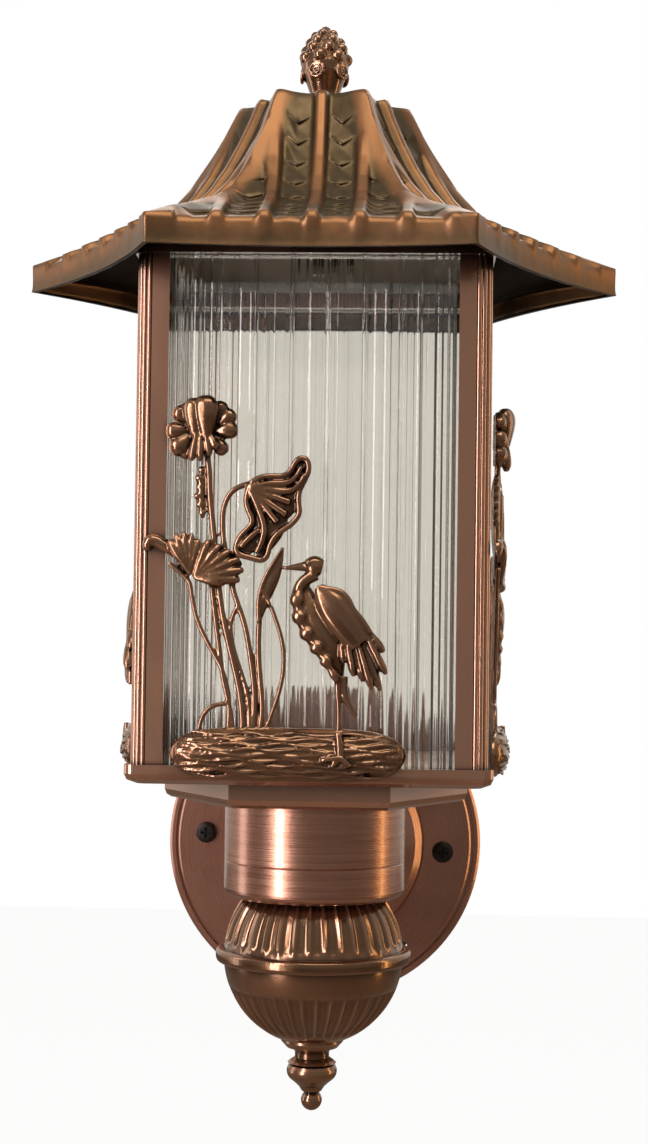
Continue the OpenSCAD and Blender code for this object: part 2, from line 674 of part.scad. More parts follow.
module bar_screws() color(black) at_axis() translate([0, -bar_off, ceiling_z - bar_t])
    for (side = [-1, 1]) translate([side * bar_screw_x, 0, 0]) union() {
        mirror([0, 0, 1]) pan_head(2.8, 2);
        cylinder(r = 1.45, h = bar_t + pan_t + 2);
    }

module light_lens() color("white") at_axis() translate([0, -bar_off, ceiling_z - bar_t - lens_h]) difference() {
    translate([lens_end - bar_length / 2, lens_t - bar_w / 2, 0])
        cube([bar_length - 2 * lens_end, bar_w - 2 * lens_t, lens_h]);
    translate([lens_end + lens_t - bar_length / 2, 2 * lens_t - bar_w / 2, lens_t])
        cube([bar_length - 2 * (lens_end + lens_t), bar_w - 4 * lens_t, lens_h]);
}

module roof_rod() color(steel) at_axis() translate([0, 0, ceiling_z])
    cylinder(r = rod_r, h = crown_z + rod_in - ceiling_z);

module rod_nut() color(steel) at_axis() translate([0, 0, ceiling_z + pan_t]) hex_nut(6, 4.6, rod_r + 0.1);

// Height of the bottom of the channels, and its slope, at a distance v from the axis
function sweep(v) = max(0, (kink_v - v) / (kink_v - crown_v));
function base_height(v) = channel_z + brim_slope * (eave_v - v) + sweep_h * pow(sweep(v), sweep_pow);
function base_slope(v) = brim_slope
    + sweep_h * sweep_pow * pow(sweep(v), sweep_pow - 1) / (kink_v - crown_v);

// The edge of the roof curves in between its corners
function edge_line(u) = edge_v - eave_sag * (1 - pow(u / edge_half, 2));

// Rounded cross-section of a ridge or hip, 1 on its crest and 0 from its foot outwards
function bump(d, half) = d >= half ? 0 : pow(cos(90 * d / half), 0.6);
function ridge_gap(u) = min([for (k = [-side_ridges:side_ridges]) abs(u - k * ridge_pitch)]);
function hip_gap(u, v) = max(0, v * sin(30) - abs(u) * cos(30));

// Relief on the channels: ridges, hips, and tiles that rise to a lip at their lower end
function relief(u, v, lip) = max(
    ridge_h * bump(ridge_gap(u), ridge_half),
    ridge_h * bump(hip_gap(u, v), hip_half),
    ridge_gap(u) > ridge_half ? tile_h * lip * min(1, hip_gap(u, v) / hip_half) : 0);

// A point of the outer face, raised square to the base surface and kept on the hip where it meets one
function roof_point(u, v, lip) = let (
    lift = relief(u, v, lip),
    lean = atan(base_slope(v)),
    out = lift * sin(lean),
    share = max(0, 1 - hip_gap(u, v) / hip_half))
    [u + sign(u) * out * tan(30) * share, -(v + out), base_height(v) + lift * cos(lean)];

// Places along a side: the corners, the feet and crests of the ridges and the channel middles
ridge_steps = [-1, -0.5, 0.5, 1];
mark_gap = 0.7;
ridge_marks = [for (k = [-side_ridges:side_ridges]) each concat(
    [for (s = ridge_steps) k * ridge_pitch + s * ridge_half],
    k < side_ridges ? [(k + 0.5) * ridge_pitch] : [])];
clear_marks = [for (u = ridge_marks) if (abs(abs(u) - crown_half) > mark_gap) u];
columns = concat(
    [-edge_half], [for (u = clear_marks) if (u < -crown_half) u],
    [-crown_half], [for (u = clear_marks) if (abs(u) < crown_half) u],
    [crown_half], [for (u = clear_marks) if (u > crown_half) u], [edge_half]);
spans = len(columns) - 1;
crown_first = search(-crown_half, columns)[0];
crown_last = search(crown_half, columns)[0];

// Rows down a side: each tile has one at its lip and one just under it
function row_place(t) = 0.45 * t + 0.55 * t * t;
tile_rows = concat([[0, 0]],
    [for (k = [1:tiles - 1]) each [[row_place(k / tiles), 1], [row_place(k / tiles) + 0.004, 0]]],
    [[1, 0.6]]);
rows = len(tile_rows);

// The middle of a channel hangs lower, which gives each tile its rounded lip
function hang(u, s) = s > 0 && s < 1 && ridge_gap(u) > ridge_pitch / 2 - 0.1 ? tile_drop : 0;
function roof_grid(i, j) = let (
    u = columns[i],
    s = tile_rows[j][0],
    edge = edge_line(u),
    v = crown_v + (edge - crown_v) * s + hang(u, s))
    roof_point(u, min(edge, max(abs(u) / tan(30), v)), tile_rows[j][1]);

// A point on the band along the eave, set out from the edge of the roof
function band_point(i, out, z) = [columns[i] * (edge_v + out) / edge_v, -(edge_line(columns[i]) + out), z];

// Inner face: the base surface set in by the thickness of the roof, in a few long strips
under_spans = 7;
function under_column(k) = round(k * spans / under_spans);
under_steps = concat(
    [for (s = [0.85, 0.4, 0]) mix(kink_v, edge_v - eave_sag - lip_t, s)],
    [for (s = [0.75, 0.5, 0.25, 0.03]) mix(crown_v, kink_v, s)]);
under_rows = len(under_steps) + 3;
function under_z(v) = base_height(v) - roof_t * sqrt(1 + pow(base_slope(v), 2));
function under_at(f, v, z) = [f * v * tan(30), -v, z];
function under_grid(k, j) =
    let (i = under_column(k), f = columns[i] / edge_half, inner = fascia_lean - lip_t)
    j == 0 ? band_point(i, inner, eave_z) :
    j == 1 ? band_point(i, inner, under_z(edge_line(columns[i]) + inner)) :
    j == under_rows - 1 ? under_at(f, crown_v - 2, crown_z - crown_t) :
    under_at(f, under_steps[j - 2], under_z(under_steps[j - 2]));

// Triangles of one sixth of the roof, then all six turned round the axis
function quad(a, b, c, d) = [[a, c, b], [a, d, c]];
outer_side = [for (i = [0:spans - 1]) each concat(
    [for (j = [0:rows - 2]) each
        quad(roof_grid(i, j), roof_grid(i, j + 1), roof_grid(i + 1, j + 1), roof_grid(i + 1, j))],
    quad(roof_grid(i, rows - 1), band_point(i, lip_out, eave_z + lip_h),
         band_point(i + 1, lip_out, eave_z + lip_h), roof_grid(i + 1, rows - 1)),
    quad(band_point(i, lip_out, eave_z + lip_h), band_point(i, fascia_lean, eave_z),
         band_point(i + 1, fascia_lean, eave_z), band_point(i + 1, lip_out, eave_z + lip_h)))];
lip_side = [for (k = [0:under_spans - 1]) each concat(
    [for (i = [under_column(k):under_column(k + 1) - 1])
        [band_point(i, fascia_lean, eave_z), band_point(i + 1, fascia_lean, eave_z), under_grid(k, 0)]],
    [[band_point(under_column(k + 1), fascia_lean, eave_z), under_grid(k + 1, 0), under_grid(k, 0)]])];
inner_side = [for (k = [0:under_spans - 1]) each concat(
    [for (j = [0:under_rows - 2]) each
        quad(under_grid(k, j), under_grid(k, j + 1), under_grid(k + 1, j + 1), under_grid(k + 1, j))],
    [[under_grid(k, under_rows - 1), under_grid(k + 1, under_rows - 1), [0, 0, crown_z - crown_t]]])];
crown_side = [for (i = [crown_first:crown_last - 1]) each concat(
    [[[0, 0, crown_z], crown_rim(i + 1), crown_rim(i)]],
    quad(crown_rim(i), roof_grid(i, 0), roof_grid(i + 1, 0), crown_rim(i + 1)))];
function crown_rim(i) = [columns[i] * (crown_v - crown_round) / crown_v, crown_round - crown_v, crown_z];

function turned(p, a) = [p[0] * cos(a) - p[1] * sin(a), p[0] * sin(a) + p[1] * cos(a), p[2]];
function snapped(p) = [for (c = p) round(c * 10000) / 10000];
function apart(a, b) = norm(a - b) > 0.0005;
roof_triangles = [for (t = concat(outer_side, lip_side, inner_side, crown_side), side = [0:5])
    let (s = [for (p = t) snapped(turned(p, 60 * side))])
    if (apart(s[0], s[1]) && apart(s[1], s[2]) && apart(s[0], s[2])) s];

// Cast roof shell: ridges and tiled channels above, plain inside, with a hole for the rod
module roof_shell() color(roof_copper) at_axis() difference() {
    polyhedron(
        points = [for (t = roof_triangles) each t],
        faces = [for (k = [0:len(roof_triangles) - 1]) [3 * k, 3 * k + 1, 3 * k + 2]]);
    translate([0, 0, crown_z - crown_t - cut]) cylinder(r = rod_r + fit, h = crown_t + 2 * cut);
}

// Outline of the bud, as shares of its height and radii
bud_profile = [
    [0, 6.4], [0.1, 5.8], [0.2, 6.4], [0.3, 7.8], [0.42, 9.8], [0.53, 10.3], [0.64, 9.6], [0.76, 7.6],
    [0.88, 4.6], [0.96, 2.2], [1, 0]
];
function bud_r(z) = lookup(z / bud_h, bud_profile);

// One ring of scales at height z, each a ball half sunk into the bud
module scale_ring(z, count, size, shift) for (k = [0:count - 1])
    rotate(360 / count * (k + shift)) translate([bud_r(z) - size * 0.3, 0, z]) sphere(r = size);

// Scroll rosettes round the lower part of the bud
rosettes = 5;
rosette_z = 16;
module rosette() rotate([0, 84, 0]) union() {
    rotate_extrude() translate([3, 0]) circle(r = 0.75);
    rotate_extrude() translate([1.3, 0]) circle(r = 0.55);
}

// Cast bud on a short neck, screwed down on the rod over the roof
module bud_finial() color(dark_copper) at_axis() translate([0, 0, crown_z]) difference() {
    union() {
        rotate_extrude() polygon(concat([[0, 0]], [for (p = bud_profile) [p[1], p[0] * bud_h]]));
        for (k = [0:rosettes - 1]) rotate(360 / rosettes * k - 110)
            translate([bud_r(rosette_z) - 0.1, 0, rosette_z]) rosette();
        scale_ring(22.6, 7, 2.9, 0);
        scale_ring(26.4, 7, 2.7, 0.5);
        scale_ring(30, 6, 2.5, 0);
        scale_ring(33.2, 5, 2.1, 0.5);
    }
    translate([0, 0, -cut]) cylinder(r = rod_r + 0.1, h = rod_in + 0.5 + cut);
}

// Points on a smooth curve through hand-set points, with n steps between two of them
function curve_between(a, b, c, d, t) = 0.5 * (2 * b + (c - a) * t
    + (2 * a - 5 * b + 4 * c - d) * t * t + (3 * b - a - 3 * c + d) * t * t * t);
function smooth(p, n) = let (last = len(p) - 1) concat([for (i = [0:last - 1], k = [0:n - 1])
    curve_between(p[max(0, i - 1)], p[i], p[i + 1], p[min(last, i + 2)], k / n)], [p[last]]);

// A tapering form along a curve of [across, up, half width, thickness] points: flat behind, round in front
module blade(points, sides = 4, back = 0, steps = 1) {
    path = smooth(points, steps);
    last = len(path) - 1;
    rings = [for (i = [0:last]) let (
        p = path[i],
        along = path[min(last, i + 1)] - path[max(0, i - 1)],
        size = norm([along[0], along[1]]),
        side = [along[1], -along[0]] / size)
        for (k = [0:sides]) let (a = 180 * k / sides)
        [p[0] + side[0] * p[2] * cos(a), -back - p[3] * sin(a), p[1] + side[1] * p[2] * cos(a)]];
    n = sides + 1;
    polyhedron(points = rings, faces = concat(
        [[for (k = [n - 1:-1:0]) k]],
        [for (i = [0:last - 1], k = [0:n - 1])
            [i * n + k, i * n + (k + 1) % n, (i + 1) * n + (k + 1) % n, (i + 1) * n + k]],
        [[for (k = [0:n - 1]) last * n + k]]));
}

// Ribs and feathers leave their root side by side
root_step = 0.2;

// A leaf rib or petal from a root towards a tip, widest past its middle
module petal(root, tip, half, thick, sides = 3, back = 0) blade([
    [root[0], root[1], half * 0.35, thick * 0.5],
    [mix(root[0], tip[0], 0.6), mix(root[1], tip[1], 0.6), half, thick],
    [mix(root[0], tip[0], 0.9), mix(root[1], tip[1], 0.9), half * 0.75, thick * 0.75],
    [tip[0], tip[1], half * 0.15, thick * 0.3]], sides = sides, back = back);

module stem(points) blade([for (p = points) [p[0], p[1], 1.2, 2.4]], sides = 2, back = 0.4);

module lotus_flower() union() {
    for (p = petals) petal(lotus_at, lotus_at + p[1] * [cos(p[0]), sin(p[0])], p[2], p[3] + 1.5,
        back = p[3] > 4 ? 1.5 : 0);
    blade([[lotus_at[0], lotus_at[1] - 7, 1, 3], [lotus_at[0], lotus_at[1], 5, 5],
           [lotus_at[0], lotus_at[1] + 5, 2, 3]]);
}

// Ribs of the curled leaf, each from the end of its stem to the edge of the leaf
leaf_ribs = [
    [[-25.5, 116.5, 1, 2.5], [-14, 118.5, 4, 6], [-7, 122, 3, 5], [-4, 126, 2.6, 4], [-1, 124.5, 1.4, 2.5]],
    [[-25.5, 116, 1, 2.5], [-16, 114, 3.4, 6.5], [-8, 112.5, 4.6, 6.5], [-2, 111.5, 2.4, 3.5]],
    [[-25.5, 115.5, 1, 2.5], [-17, 110, 3, 6], [-9, 106, 4, 6], [-3, 103.5, 2.4, 3.5]],
    [[-25.5, 115.5, 1, 2.5], [-20, 108, 3, 5.5], [-14, 100, 4.2, 6], [-17.5, 91, 2.6, 4]],
    [[-25.5, 115.5, 1, 2.5], [-23, 107, 2.6, 5], [-20.5, 99, 3.2, 5], [-23.5, 91.5, 3.2, 4.5],
     [-29, 91.5, 1.5, 3]]
];
module curled_leaf() for (rib = leaf_ribs) blade(rib, sides = 3, steps = 2);

module fan_leaf() union() {
    for (k = [0:len(fan_tips) - 1]) petal(fan_at + root_step * [k, k % 2], fan_tips[k], 2.7, 4.5);
    blade([[-54.5, 90, 1.6, 2.5], [-59, 92.5, 3, 4], [-62, 93, 4, 3.5], [-65, 93, 2.2, 2.5]]);
}

module bird() union() {
    blade([[-2.5, 79.5, 3, 5], [-1, 73, 7, 8], [4, 63, 9.6, 9.5], [8, 53, 8.4, 8.5], [10.5, 45, 5.4, 6.5],
           [12, 39, 1.2, 3]], sides = 6);
    blade([[3.5, 76, 2.5, 4], [11, 70, 6, 6], [16, 61, 6.4, 6], [19.5, 53, 4, 4.5]], sides = 5, back = 3);
    for (k = [0:len(feather_tips) - 1])
        petal(feather_at + root_step * [k, k % 2], feather_tips[k], 2.1, 4, sides = 2, back = 1);
    blade([[-4.5, 72, 2.6, 6], [-5, 77.5, 2.4, 5], [-2, 81, 2.2, 4.5], [1.5, 83.5, 2.4, 5]], steps = 2);
    blade([[-2.8, 84.8, 1.2, 3.5], [0, 86, 3, 5.5], [3, 85.3, 3.4, 5.5], [4.8, 82.5, 2, 4]], sides = 5);
    blade([[-10.5, 84.5, 0.5, 1.6], [-6, 84.7, 1.2, 3], [-2, 84.9, 1.7, 4]], back = 0.5);
    blade([[11.5, 41, 1.6, 3.4], [11, 32, 1, 2.2], [11, 21, 1.1, 2.4], [12.5, 9, 1.7, 9.5]]);
    blade([[13.5, 41, 1.6, 3], [13.5, 33.5, 1.8, 3], [16, 29, 1.2, 2.2], [18, 26, 0.8, 1.6]]);
    for (toe = [[6, 8], [8.5, 6], [16, 7]]) blade([[12.4, 10.5, 1.2, 9.6], [toe[0], toe[1], 0.8, 9.2]]);
}

// The casting is drawn for a tray of this half width, and grows with it
relief_tray = 73;
relief_size = relief_scale * tray_half / relief_tray;

module pond() union() {
    blade([[-54, 10, 2.5, 2], [-50, 10.4, 8, 5], [-38, 11, 10.4, pond_out], [-4.5, 11, 11, pond_out],
           [23, 11, 10.4, pond_out], [32, 10.2, 8, 5], [36, 9.6, 3, 2]], sides = 5);
    for (w = waves) let (out = pond_out * (1 - pow((w[1] - 11) / 13, 2)) - 0.4) hull() {
        translate([w[0] - w[2] / 2, -out * 0.8, w[1]]) sphere(r = 0.7, $fn = 4);
        translate([w[0], -out, w[1] + 0.5]) sphere(r = 0.9, $fn = 4);
        translate([w[0] + w[2] / 2, -out * 0.8, w[1]]) sphere(r = 0.7, $fn = 4);
    }
}

// Cast lotus pond with a crane, held on the tray by two lugs
module casting(turn) color(dark_copper) at_axis() rotate(turn) translate([0, -tray_half, tray_z]) union() {
    translate([0, 0, relief_up]) scale(relief_size) union() {
        pond();
        for (s = stems) stem(s);
        lotus_flower();
        curled_leaf();
        fan_leaf();
        bird();
        blade([[-42.5, 123.5, 0.5, 1.5], [-42.8, 118.5, 2.4, 3], [-42.3, 111, 2.4, 3], [-42, 104, 0.6, 1.5]]);
        blade([[-11.5, 92, 0.4, 1.5], [-14, 82.5, 3, 4], [-17.5, 73, 3.2, 4], [-20.5, 64, 1, 2]]);
    }
    for (x = lug_x) translate([x, -1, lug_z]) rotate([-90, 0, 0])
        cylinder(r = lug_r, h = lug_l + 1, $fn = 12);
}

module relief_front() casting(0);
module relief_left() casting(-90);
module relief_right() casting(90);

wall_gasket();
mounting_plate();
wall_canopy();
canopy_screws();
terminal_block();
earth_screw();
arm();
arm_pipe();
pipe_nuts();
collar();
globe_upper();
globe_lower();
stem_rod();
stem_nut();
drop_finial();
hex_base();
tray();
tray_screws();
post_front_left();
post_front_right();
post_rear_left();
post_rear_right();
glass_front();
glass_rear();
glass_left();
glass_right();
header_frame();
header_screws();
ceiling_pan();
pan_screws();
wire_grommets();
joint_wires();
wire_joints();
light_bar();
bar_screws();
light_lens();
roof_rod();
rod_nut();
roof_shell();
bud_finial();
relief_front();
relief_left();
relief_right();
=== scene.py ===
import math

import bmesh
import bpy
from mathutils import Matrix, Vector


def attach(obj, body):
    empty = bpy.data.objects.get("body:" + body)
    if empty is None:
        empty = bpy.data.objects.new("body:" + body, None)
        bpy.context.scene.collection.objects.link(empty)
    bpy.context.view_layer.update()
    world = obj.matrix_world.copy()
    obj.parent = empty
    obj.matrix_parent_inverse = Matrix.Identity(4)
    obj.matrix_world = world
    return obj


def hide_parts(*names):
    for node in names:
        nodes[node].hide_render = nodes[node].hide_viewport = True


# The lantern hangs on a wall: back plane y = 0, front towards -y, z up, in metres
# The solids come from the part's own model. Pieces that need a finer surface are remade below.
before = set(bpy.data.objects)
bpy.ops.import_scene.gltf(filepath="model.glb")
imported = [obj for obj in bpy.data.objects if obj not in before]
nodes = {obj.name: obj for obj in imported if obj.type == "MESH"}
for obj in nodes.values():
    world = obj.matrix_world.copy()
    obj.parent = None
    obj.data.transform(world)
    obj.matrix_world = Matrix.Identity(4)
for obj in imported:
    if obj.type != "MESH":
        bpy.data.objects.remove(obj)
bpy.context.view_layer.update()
AXIS_Y = -0.116
AXIS = Vector((0, AXIS_Y, 0))

camera = bpy.data.objects.new("camera", bpy.data.cameras.new("camera"))
bpy.context.scene.collection.objects.link(camera)
camera.data.lens = 61.5
camera.data.clip_start = 0.01
camera.location = (0.037, -0.9567, 0.097)
camera.rotation_euler = (math.radians(92), math.radians(-0.76), math.radians(2.33))
bpy.context.scene.camera = camera

# Room: a pale floor under the lantern, a white room behind it and a dim one in front
# Metal and glass mirror the room, so it is darker in front, where the photograph's metal is dark.


def linear(code):
    """An sRGB hex colour as linear red, green, blue and alpha."""
    parts = [int(code[k:k + 2], 16) / 255 for k in (1, 3, 5)]
    return [c / 12.92 if c <= 0.04045 else ((c + 0.055) / 1.055) ** 2.4 for c in parts] + [1]


def put(tree, kind, sockets=(), **settings):
    """Add a shader node with its settings, and set each socket to a value or to another node's output."""
    made = tree.nodes.new(kind)
    for key, value in settings.items():
        setattr(made, key, value)
    for key, value in dict(sockets).items():
        if isinstance(value, bpy.types.NodeSocket):
            tree.links.new(value, made.inputs[key])
        else:
            made.inputs[key].default_value = value
    return made


# A Mix node set to colours has these sockets: the two colours in, and the mixed one out.
MIX_LOW, MIX_HIGH, MIX_RESULT = 6, 7, 2


def blend(tree, share, low, high):
    """Mix two colours by a share; each is a hex code or another node's output."""
    low, high = (linear(side) if isinstance(side, str) else side for side in (low, high))
    made = put(tree, "ShaderNodeMix", {0: share, MIX_LOW: low, MIX_HIGH: high}, data_type="RGBA")
    return made.outputs[MIX_RESULT]


def fit(tree, value, span, onto=(0, 1)):
    """Map a value from one span onto another one, and hold it inside that."""
    return put(tree, "ShaderNodeMapRange", enumerate((value, *span, *onto))).outputs[0]


def reckon(tree, operation, first, second):
    """One operation on two values, such as ADD."""
    return put(tree, "ShaderNodeMath", {0: first, 1: second}, operation=operation).outputs[0]


def object_place(tree):
    """The place of each spot on the object, in metres."""
    return put(tree, "ShaderNodeTexCoord").outputs["Object"]


def stretch(tree, place, scale):
    """A place scaled along x, y and z, so that a pattern is fine along one and long along another."""
    return put(tree, "ShaderNodeMapping", {"Vector": place, "Scale": scale}).outputs[0]


def noise(tree, place, scale, detail=2, roughness=0.5):
    """Soft uneven clouds, from 0 to 1."""
    made = put(tree, "ShaderNodeTexNoise", {
        "Vector": place, "Scale": scale, "Detail": detail, "Roughness": roughness})
    return made.outputs["Fac"]


def bump(tree, height, strength, distance):
    """A surface direction tilted as if the height were cut into the surface."""
    made = put(tree, "ShaderNodeBump", {"Height": height, "Strength": strength, "Distance": distance})
    return made.outputs[0]


def surface(tree, sockets):
    """End a material in one principled shader with these sockets."""
    shader = put(tree, "ShaderNodeBsdfPrincipled", sockets)
    put(tree, "ShaderNodeOutputMaterial", {"Surface": shader.outputs[0]})


def start_material(name):
    """A new material with an empty node tree."""
    made = bpy.data.materials.new(name)
    made.use_nodes = True
    made.node_tree.nodes.clear()
    return made, made.node_tree


scene = bpy.context.scene
scene.view_settings.view_transform = "Standard"
world = bpy.data.worlds.new("room")
scene.world = world
world.use_nodes = True
room = world.node_tree
room.nodes.clear()
way = put(room, "ShaderNodeTexCoord").outputs["Generated"]
height = put(room, "ShaderNodeSeparateXYZ", {0: way})
up = fit(room, height.outputs["Z"], (-0.6, 0.9), (0.15, 0.40))
back = fit(room, height.outputs["Y"], (0.0, 0.6), (0.0, 0.40))
level = reckon(room, "ADD", up, back)
dim = put(room, "ShaderNodeBackground", {"Color": linear("#fff6ea"), "Strength": level})
plain = put(room, "ShaderNodeBackground", {"Color": (1, 1, 1, 1), "Strength": 1.0})
rays = put(room, "ShaderNodeLightPath")
seen = reckon(room, "MAXIMUM", rays.outputs["Is Camera Ray"], rays.outputs["Is Transmission Ray"])
both = put(room, "ShaderNodeMixShader", {0: seen, 1: dim.outputs[0], 2: plain.outputs[0]})
put(room, "ShaderNodeOutputWorld", {"Surface": both.outputs[0]})


def lamp(name, place, aim, width, tall, watts, tint):
    """A soft rectangular lamp that looks at the lantern's axis at the height of its aim."""
    light = bpy.data.lights.new(name, "AREA")
    light.shape = "RECTANGLE"
    light.size, light.size_y = width, tall
    light.energy = watts
    light.color = linear(tint)[:3]
    made = bpy.data.objects.new(name, light)
    made.location = place
    sight = AXIS + Vector((0, 0, aim)) - Vector(place)
    made.rotation_euler = sight.to_track_quat("-Z", "Y").to_euler()
    scene.collection.objects.link(made)


lamp("window_left", (-0.80, -1.00, 0.22), 0.12, 0.22, 1.5, 13, "#fff2f4")
lamp("window_right", (1.25, 0.02, 0.15), 0.10, 0.12, 1.2, 2.4, "#ffd08a")
lamp("window_side", (-1.25, 0.10, 0.20), 0.15, 0.30, 1.2, 2.4, "#fff4f2")
lamp("ceiling", (0.15, -0.75, 1.35), 0.20, 1.0, 0.7, 8, "#fff1dc")
lamp("ceiling_back", (0.0, 0.95, 1.10), 0.20, 1.2, 0.6, 5, "#ffffff")

FLOOR_Z, FLOOR_WIDE = -0.45, 6
bpy.ops.object.select_all(action="DESELECT")
bpy.ops.mesh.primitive_grid_add(
    x_subdivisions=2, y_subdivisions=2, size=FLOOR_WIDE, location=(0, 0, FLOOR_Z))
floor = bpy.context.object
floor.name = "floor"
bpy.ops.object.transform_apply(location=True, rotation=True, scale=True)
paint, tree = start_material("pale_floor")
rays = put(tree, "ShaderNodeLightPath")
cloth = blend(tree, rays.outputs["Is Camera Ray"], "#857b72", "#f4f3f1")
matt = put(tree, "ShaderNodeBsdfDiffuse", {"Color": cloth})
white = put(tree, "ShaderNodeEmission", {"Color": (1, 1, 1, 1), "Strength": 1.0})
share = fit(tree, rays.outputs["Is Camera Ray"], (0, 1), (0.0, 0.93))
mixed = put(tree, "ShaderNodeMixShader", {0: share, 1: matt.outputs[0], 2: white.outputs[0]})
put(tree, "ShaderNodeOutputMaterial", {"Surface": mixed.outputs[0]})
floor.data.materials.append(paint)

# Wall plate: a spun copper canopy on a steel plate, with a rubber ring against the wall
# Spinning leaves fine rings round the middle, and the antique finish leaves brown clouds in them.


def dress(material, *names):
    """Give CAD nodes their finish, in the slots they already have."""
    for name in names:
        for slot in nodes[name].material_slots:
            slot.material = material


spun_copper, tree = start_material("antique_copper_spun")
spot = object_place(tree)
flat = put(tree, "ShaderNodeVectorMath", {0: spot, 1: (1, 0, 1)}, operation="MULTIPLY")
radius = put(tree, "ShaderNodeVectorMath", {0: flat.outputs[0]}, operation="LENGTH")
rings = put(tree, "ShaderNodeTexNoise", {"W": radius.outputs["Value"], "Scale": 3200, "Detail": 2},
            noise_dimensions="1D").outputs["Fac"]
clouds = noise(tree, spot, 28, 3)
tone = reckon(tree, "ADD", rings, clouds)
share = fit(tree, tone, (0.6, 1.45))
skin = blend(tree, share, "#986654", "#cc9a86")
gloss = fit(tree, rings, (0.3, 0.7), (0.26, 0.34))
lines = bump(tree, rings, 0.05, 0.0003)
surface(tree, {
    "Base Color": skin, "Roughness": gloss, "Normal": lines, "Metallic": 0.95,
    "Coat Weight": 0.5, "Coat Roughness": 0.12})
dress(spun_copper, "wall_canopy")

# Black oxide screws: satin black, with a fine uneven grain.
black_oxide, tree = start_material("black_oxide_screw")
grit = noise(tree, object_place(tree), 900)
tone = blend(tree, grit, "#141110", "#2c2724")
gloss = fit(tree, grit, (0, 1), (0.32, 0.5))
surface(tree, {"Base Color": tone, "Roughness": gloss, "Metallic": 0.4})
dress(black_oxide, "canopy_screws", "tray_screws", "header_screws", "pan_screws", "bar_screws")

# Zinc-plated steel: the hidden plate, nuts, pipe and rods, cool grey with faint crystals.
zinc, tree = start_material("zinc_plated_steel")
grain = put(tree, "ShaderNodeTexVoronoi", {"Vector": object_place(tree), "Scale": 420})
tone = blend(tree, grain.outputs["Distance"], "#b4b6b6", "#8e9192")
gloss = fit(tree, grain.outputs["Distance"], (0, 1), (0.28, 0.45))
surface(tree, {"Base Color": tone, "Roughness": gloss, "Metallic": 1.0})
dress(zinc, "mounting_plate", "arm_pipe", "pipe_nuts", "stem_rod", "stem_nut", "roof_rod", "rod_nut")

# Black rubber: the gasket, grommets and wires, matt with a fine bloom.
rubber, tree = start_material("black_rubber")
bloom = noise(tree, object_place(tree), 300, 3)
tone = blend(tree, bloom, "#100f0f", "#2a2928")
surface(tree, {"Base Color": tone, "Roughness": 0.6})
dress(rubber, "wall_gasket", "wire_grommets", "joint_wires")

# Cream moulded plastic of the terminal block.
cream, tree = start_material("cream_moulded_plastic")
pores = noise(tree, object_place(tree), 700)
tone = blend(tree, pores, "#ddd8c6", "#e9e5d6")
surface(tree, {"Base Color": tone, "Roughness": 0.45})
dress(cream, "terminal_block")

# Turned brass of the earth screw.
brass, tree = start_material("turned_brass")
grain = noise(tree, object_place(tree), 600)
tone = blend(tree, grain, "#a8883e", "#d8b968")
surface(tree, {"Base Color": tone, "Roughness": 0.3, "Metallic": 1.0})
dress(brass, "earth_screw")

# Arm and collar: drawn copper, brushed round the axis and lacquered
# The brushing lies level round the collar, so a lamp shows in it as a tall bright streak.
brushed_copper, tree = start_material("antique_copper_brushed")
spot = object_place(tree)
level_lines = stretch(tree, spot, (14, 14, 5200))
brush = noise(tree, level_lines, 1.0, 3)
bands = stretch(tree, spot, (8, 8, 420))
band = noise(tree, bands, 1.0)
tone = reckon(tree, "ADD", brush, band)
share = fit(tree, tone, (0.6, 1.4))
skin = blend(tree, share, "#93624f", "#c89a84")
gloss = fit(tree, brush, (0.3, 0.7), (0.22, 0.32))
lines = bump(tree, brush, 0.12, 0.0004)
surface(tree, {
    "Base Color": skin, "Roughness": gloss, "Normal": lines, "Metallic": 0.95,
    "Coat Weight": 0.6, "Coat Roughness": 0.1})
dress(brushed_copper, "arm", "collar")

# Globe: two fluted cast halves with a rolled rim, clamped under the collar by the stem
# The flutes are pushed into a fine sphere ring by ring, and the wall is given its thickness after.
GLOBE_Z, GLOBE_R, WALL = -0.037, 0.0383, 0.002
GLOBE_MID = AXIS + Vector((0, 0, GLOBE_Z))
# The rim stands out from the globe, and a hair's breadth keeps its inner edge off the sphere.
RIM_OUT, RIM_H, RIM_ROUND, HAIR = 0.0034, 0.006, 0.0022, 0.0001
# Each flute is a few columns of the sphere's vertices, pushed in by these shares of its depth, in
# four steps; it fades out over some degrees of latitude at both ends.
FLUTES, FLUTE_DEEP, FLUTE_FADE = 36, 0.0011, 5
FLUTE_SHARES = (0, 0.62, 0.9, 1, 1, 1, 0.9, 0.62)
FLUTE_STEPS = 4
COLUMNS = len(FLUTE_SHARES)


def pick(test):
    """Select the vertices of the mesh in edit mode for which the test holds, and nothing else."""
    mesh = bmesh.from_edit_mesh(bpy.context.object.data)
    mesh.select_mode = {"VERT"}
    for v in mesh.verts:
        v.select = test(v)
    mesh.select_flush_mode()
    bmesh.update_edit_mesh(bpy.context.object.data)


def finish_piece(piece, name, material, replaced):
    """Name a made piece, give it its finish, and let it ride in the place of its solids."""
    piece.name = piece.data.name = name
    piece.data.materials.clear()
    piece.data.materials.append(material)
    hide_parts(*replaced)
    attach(piece, "root")


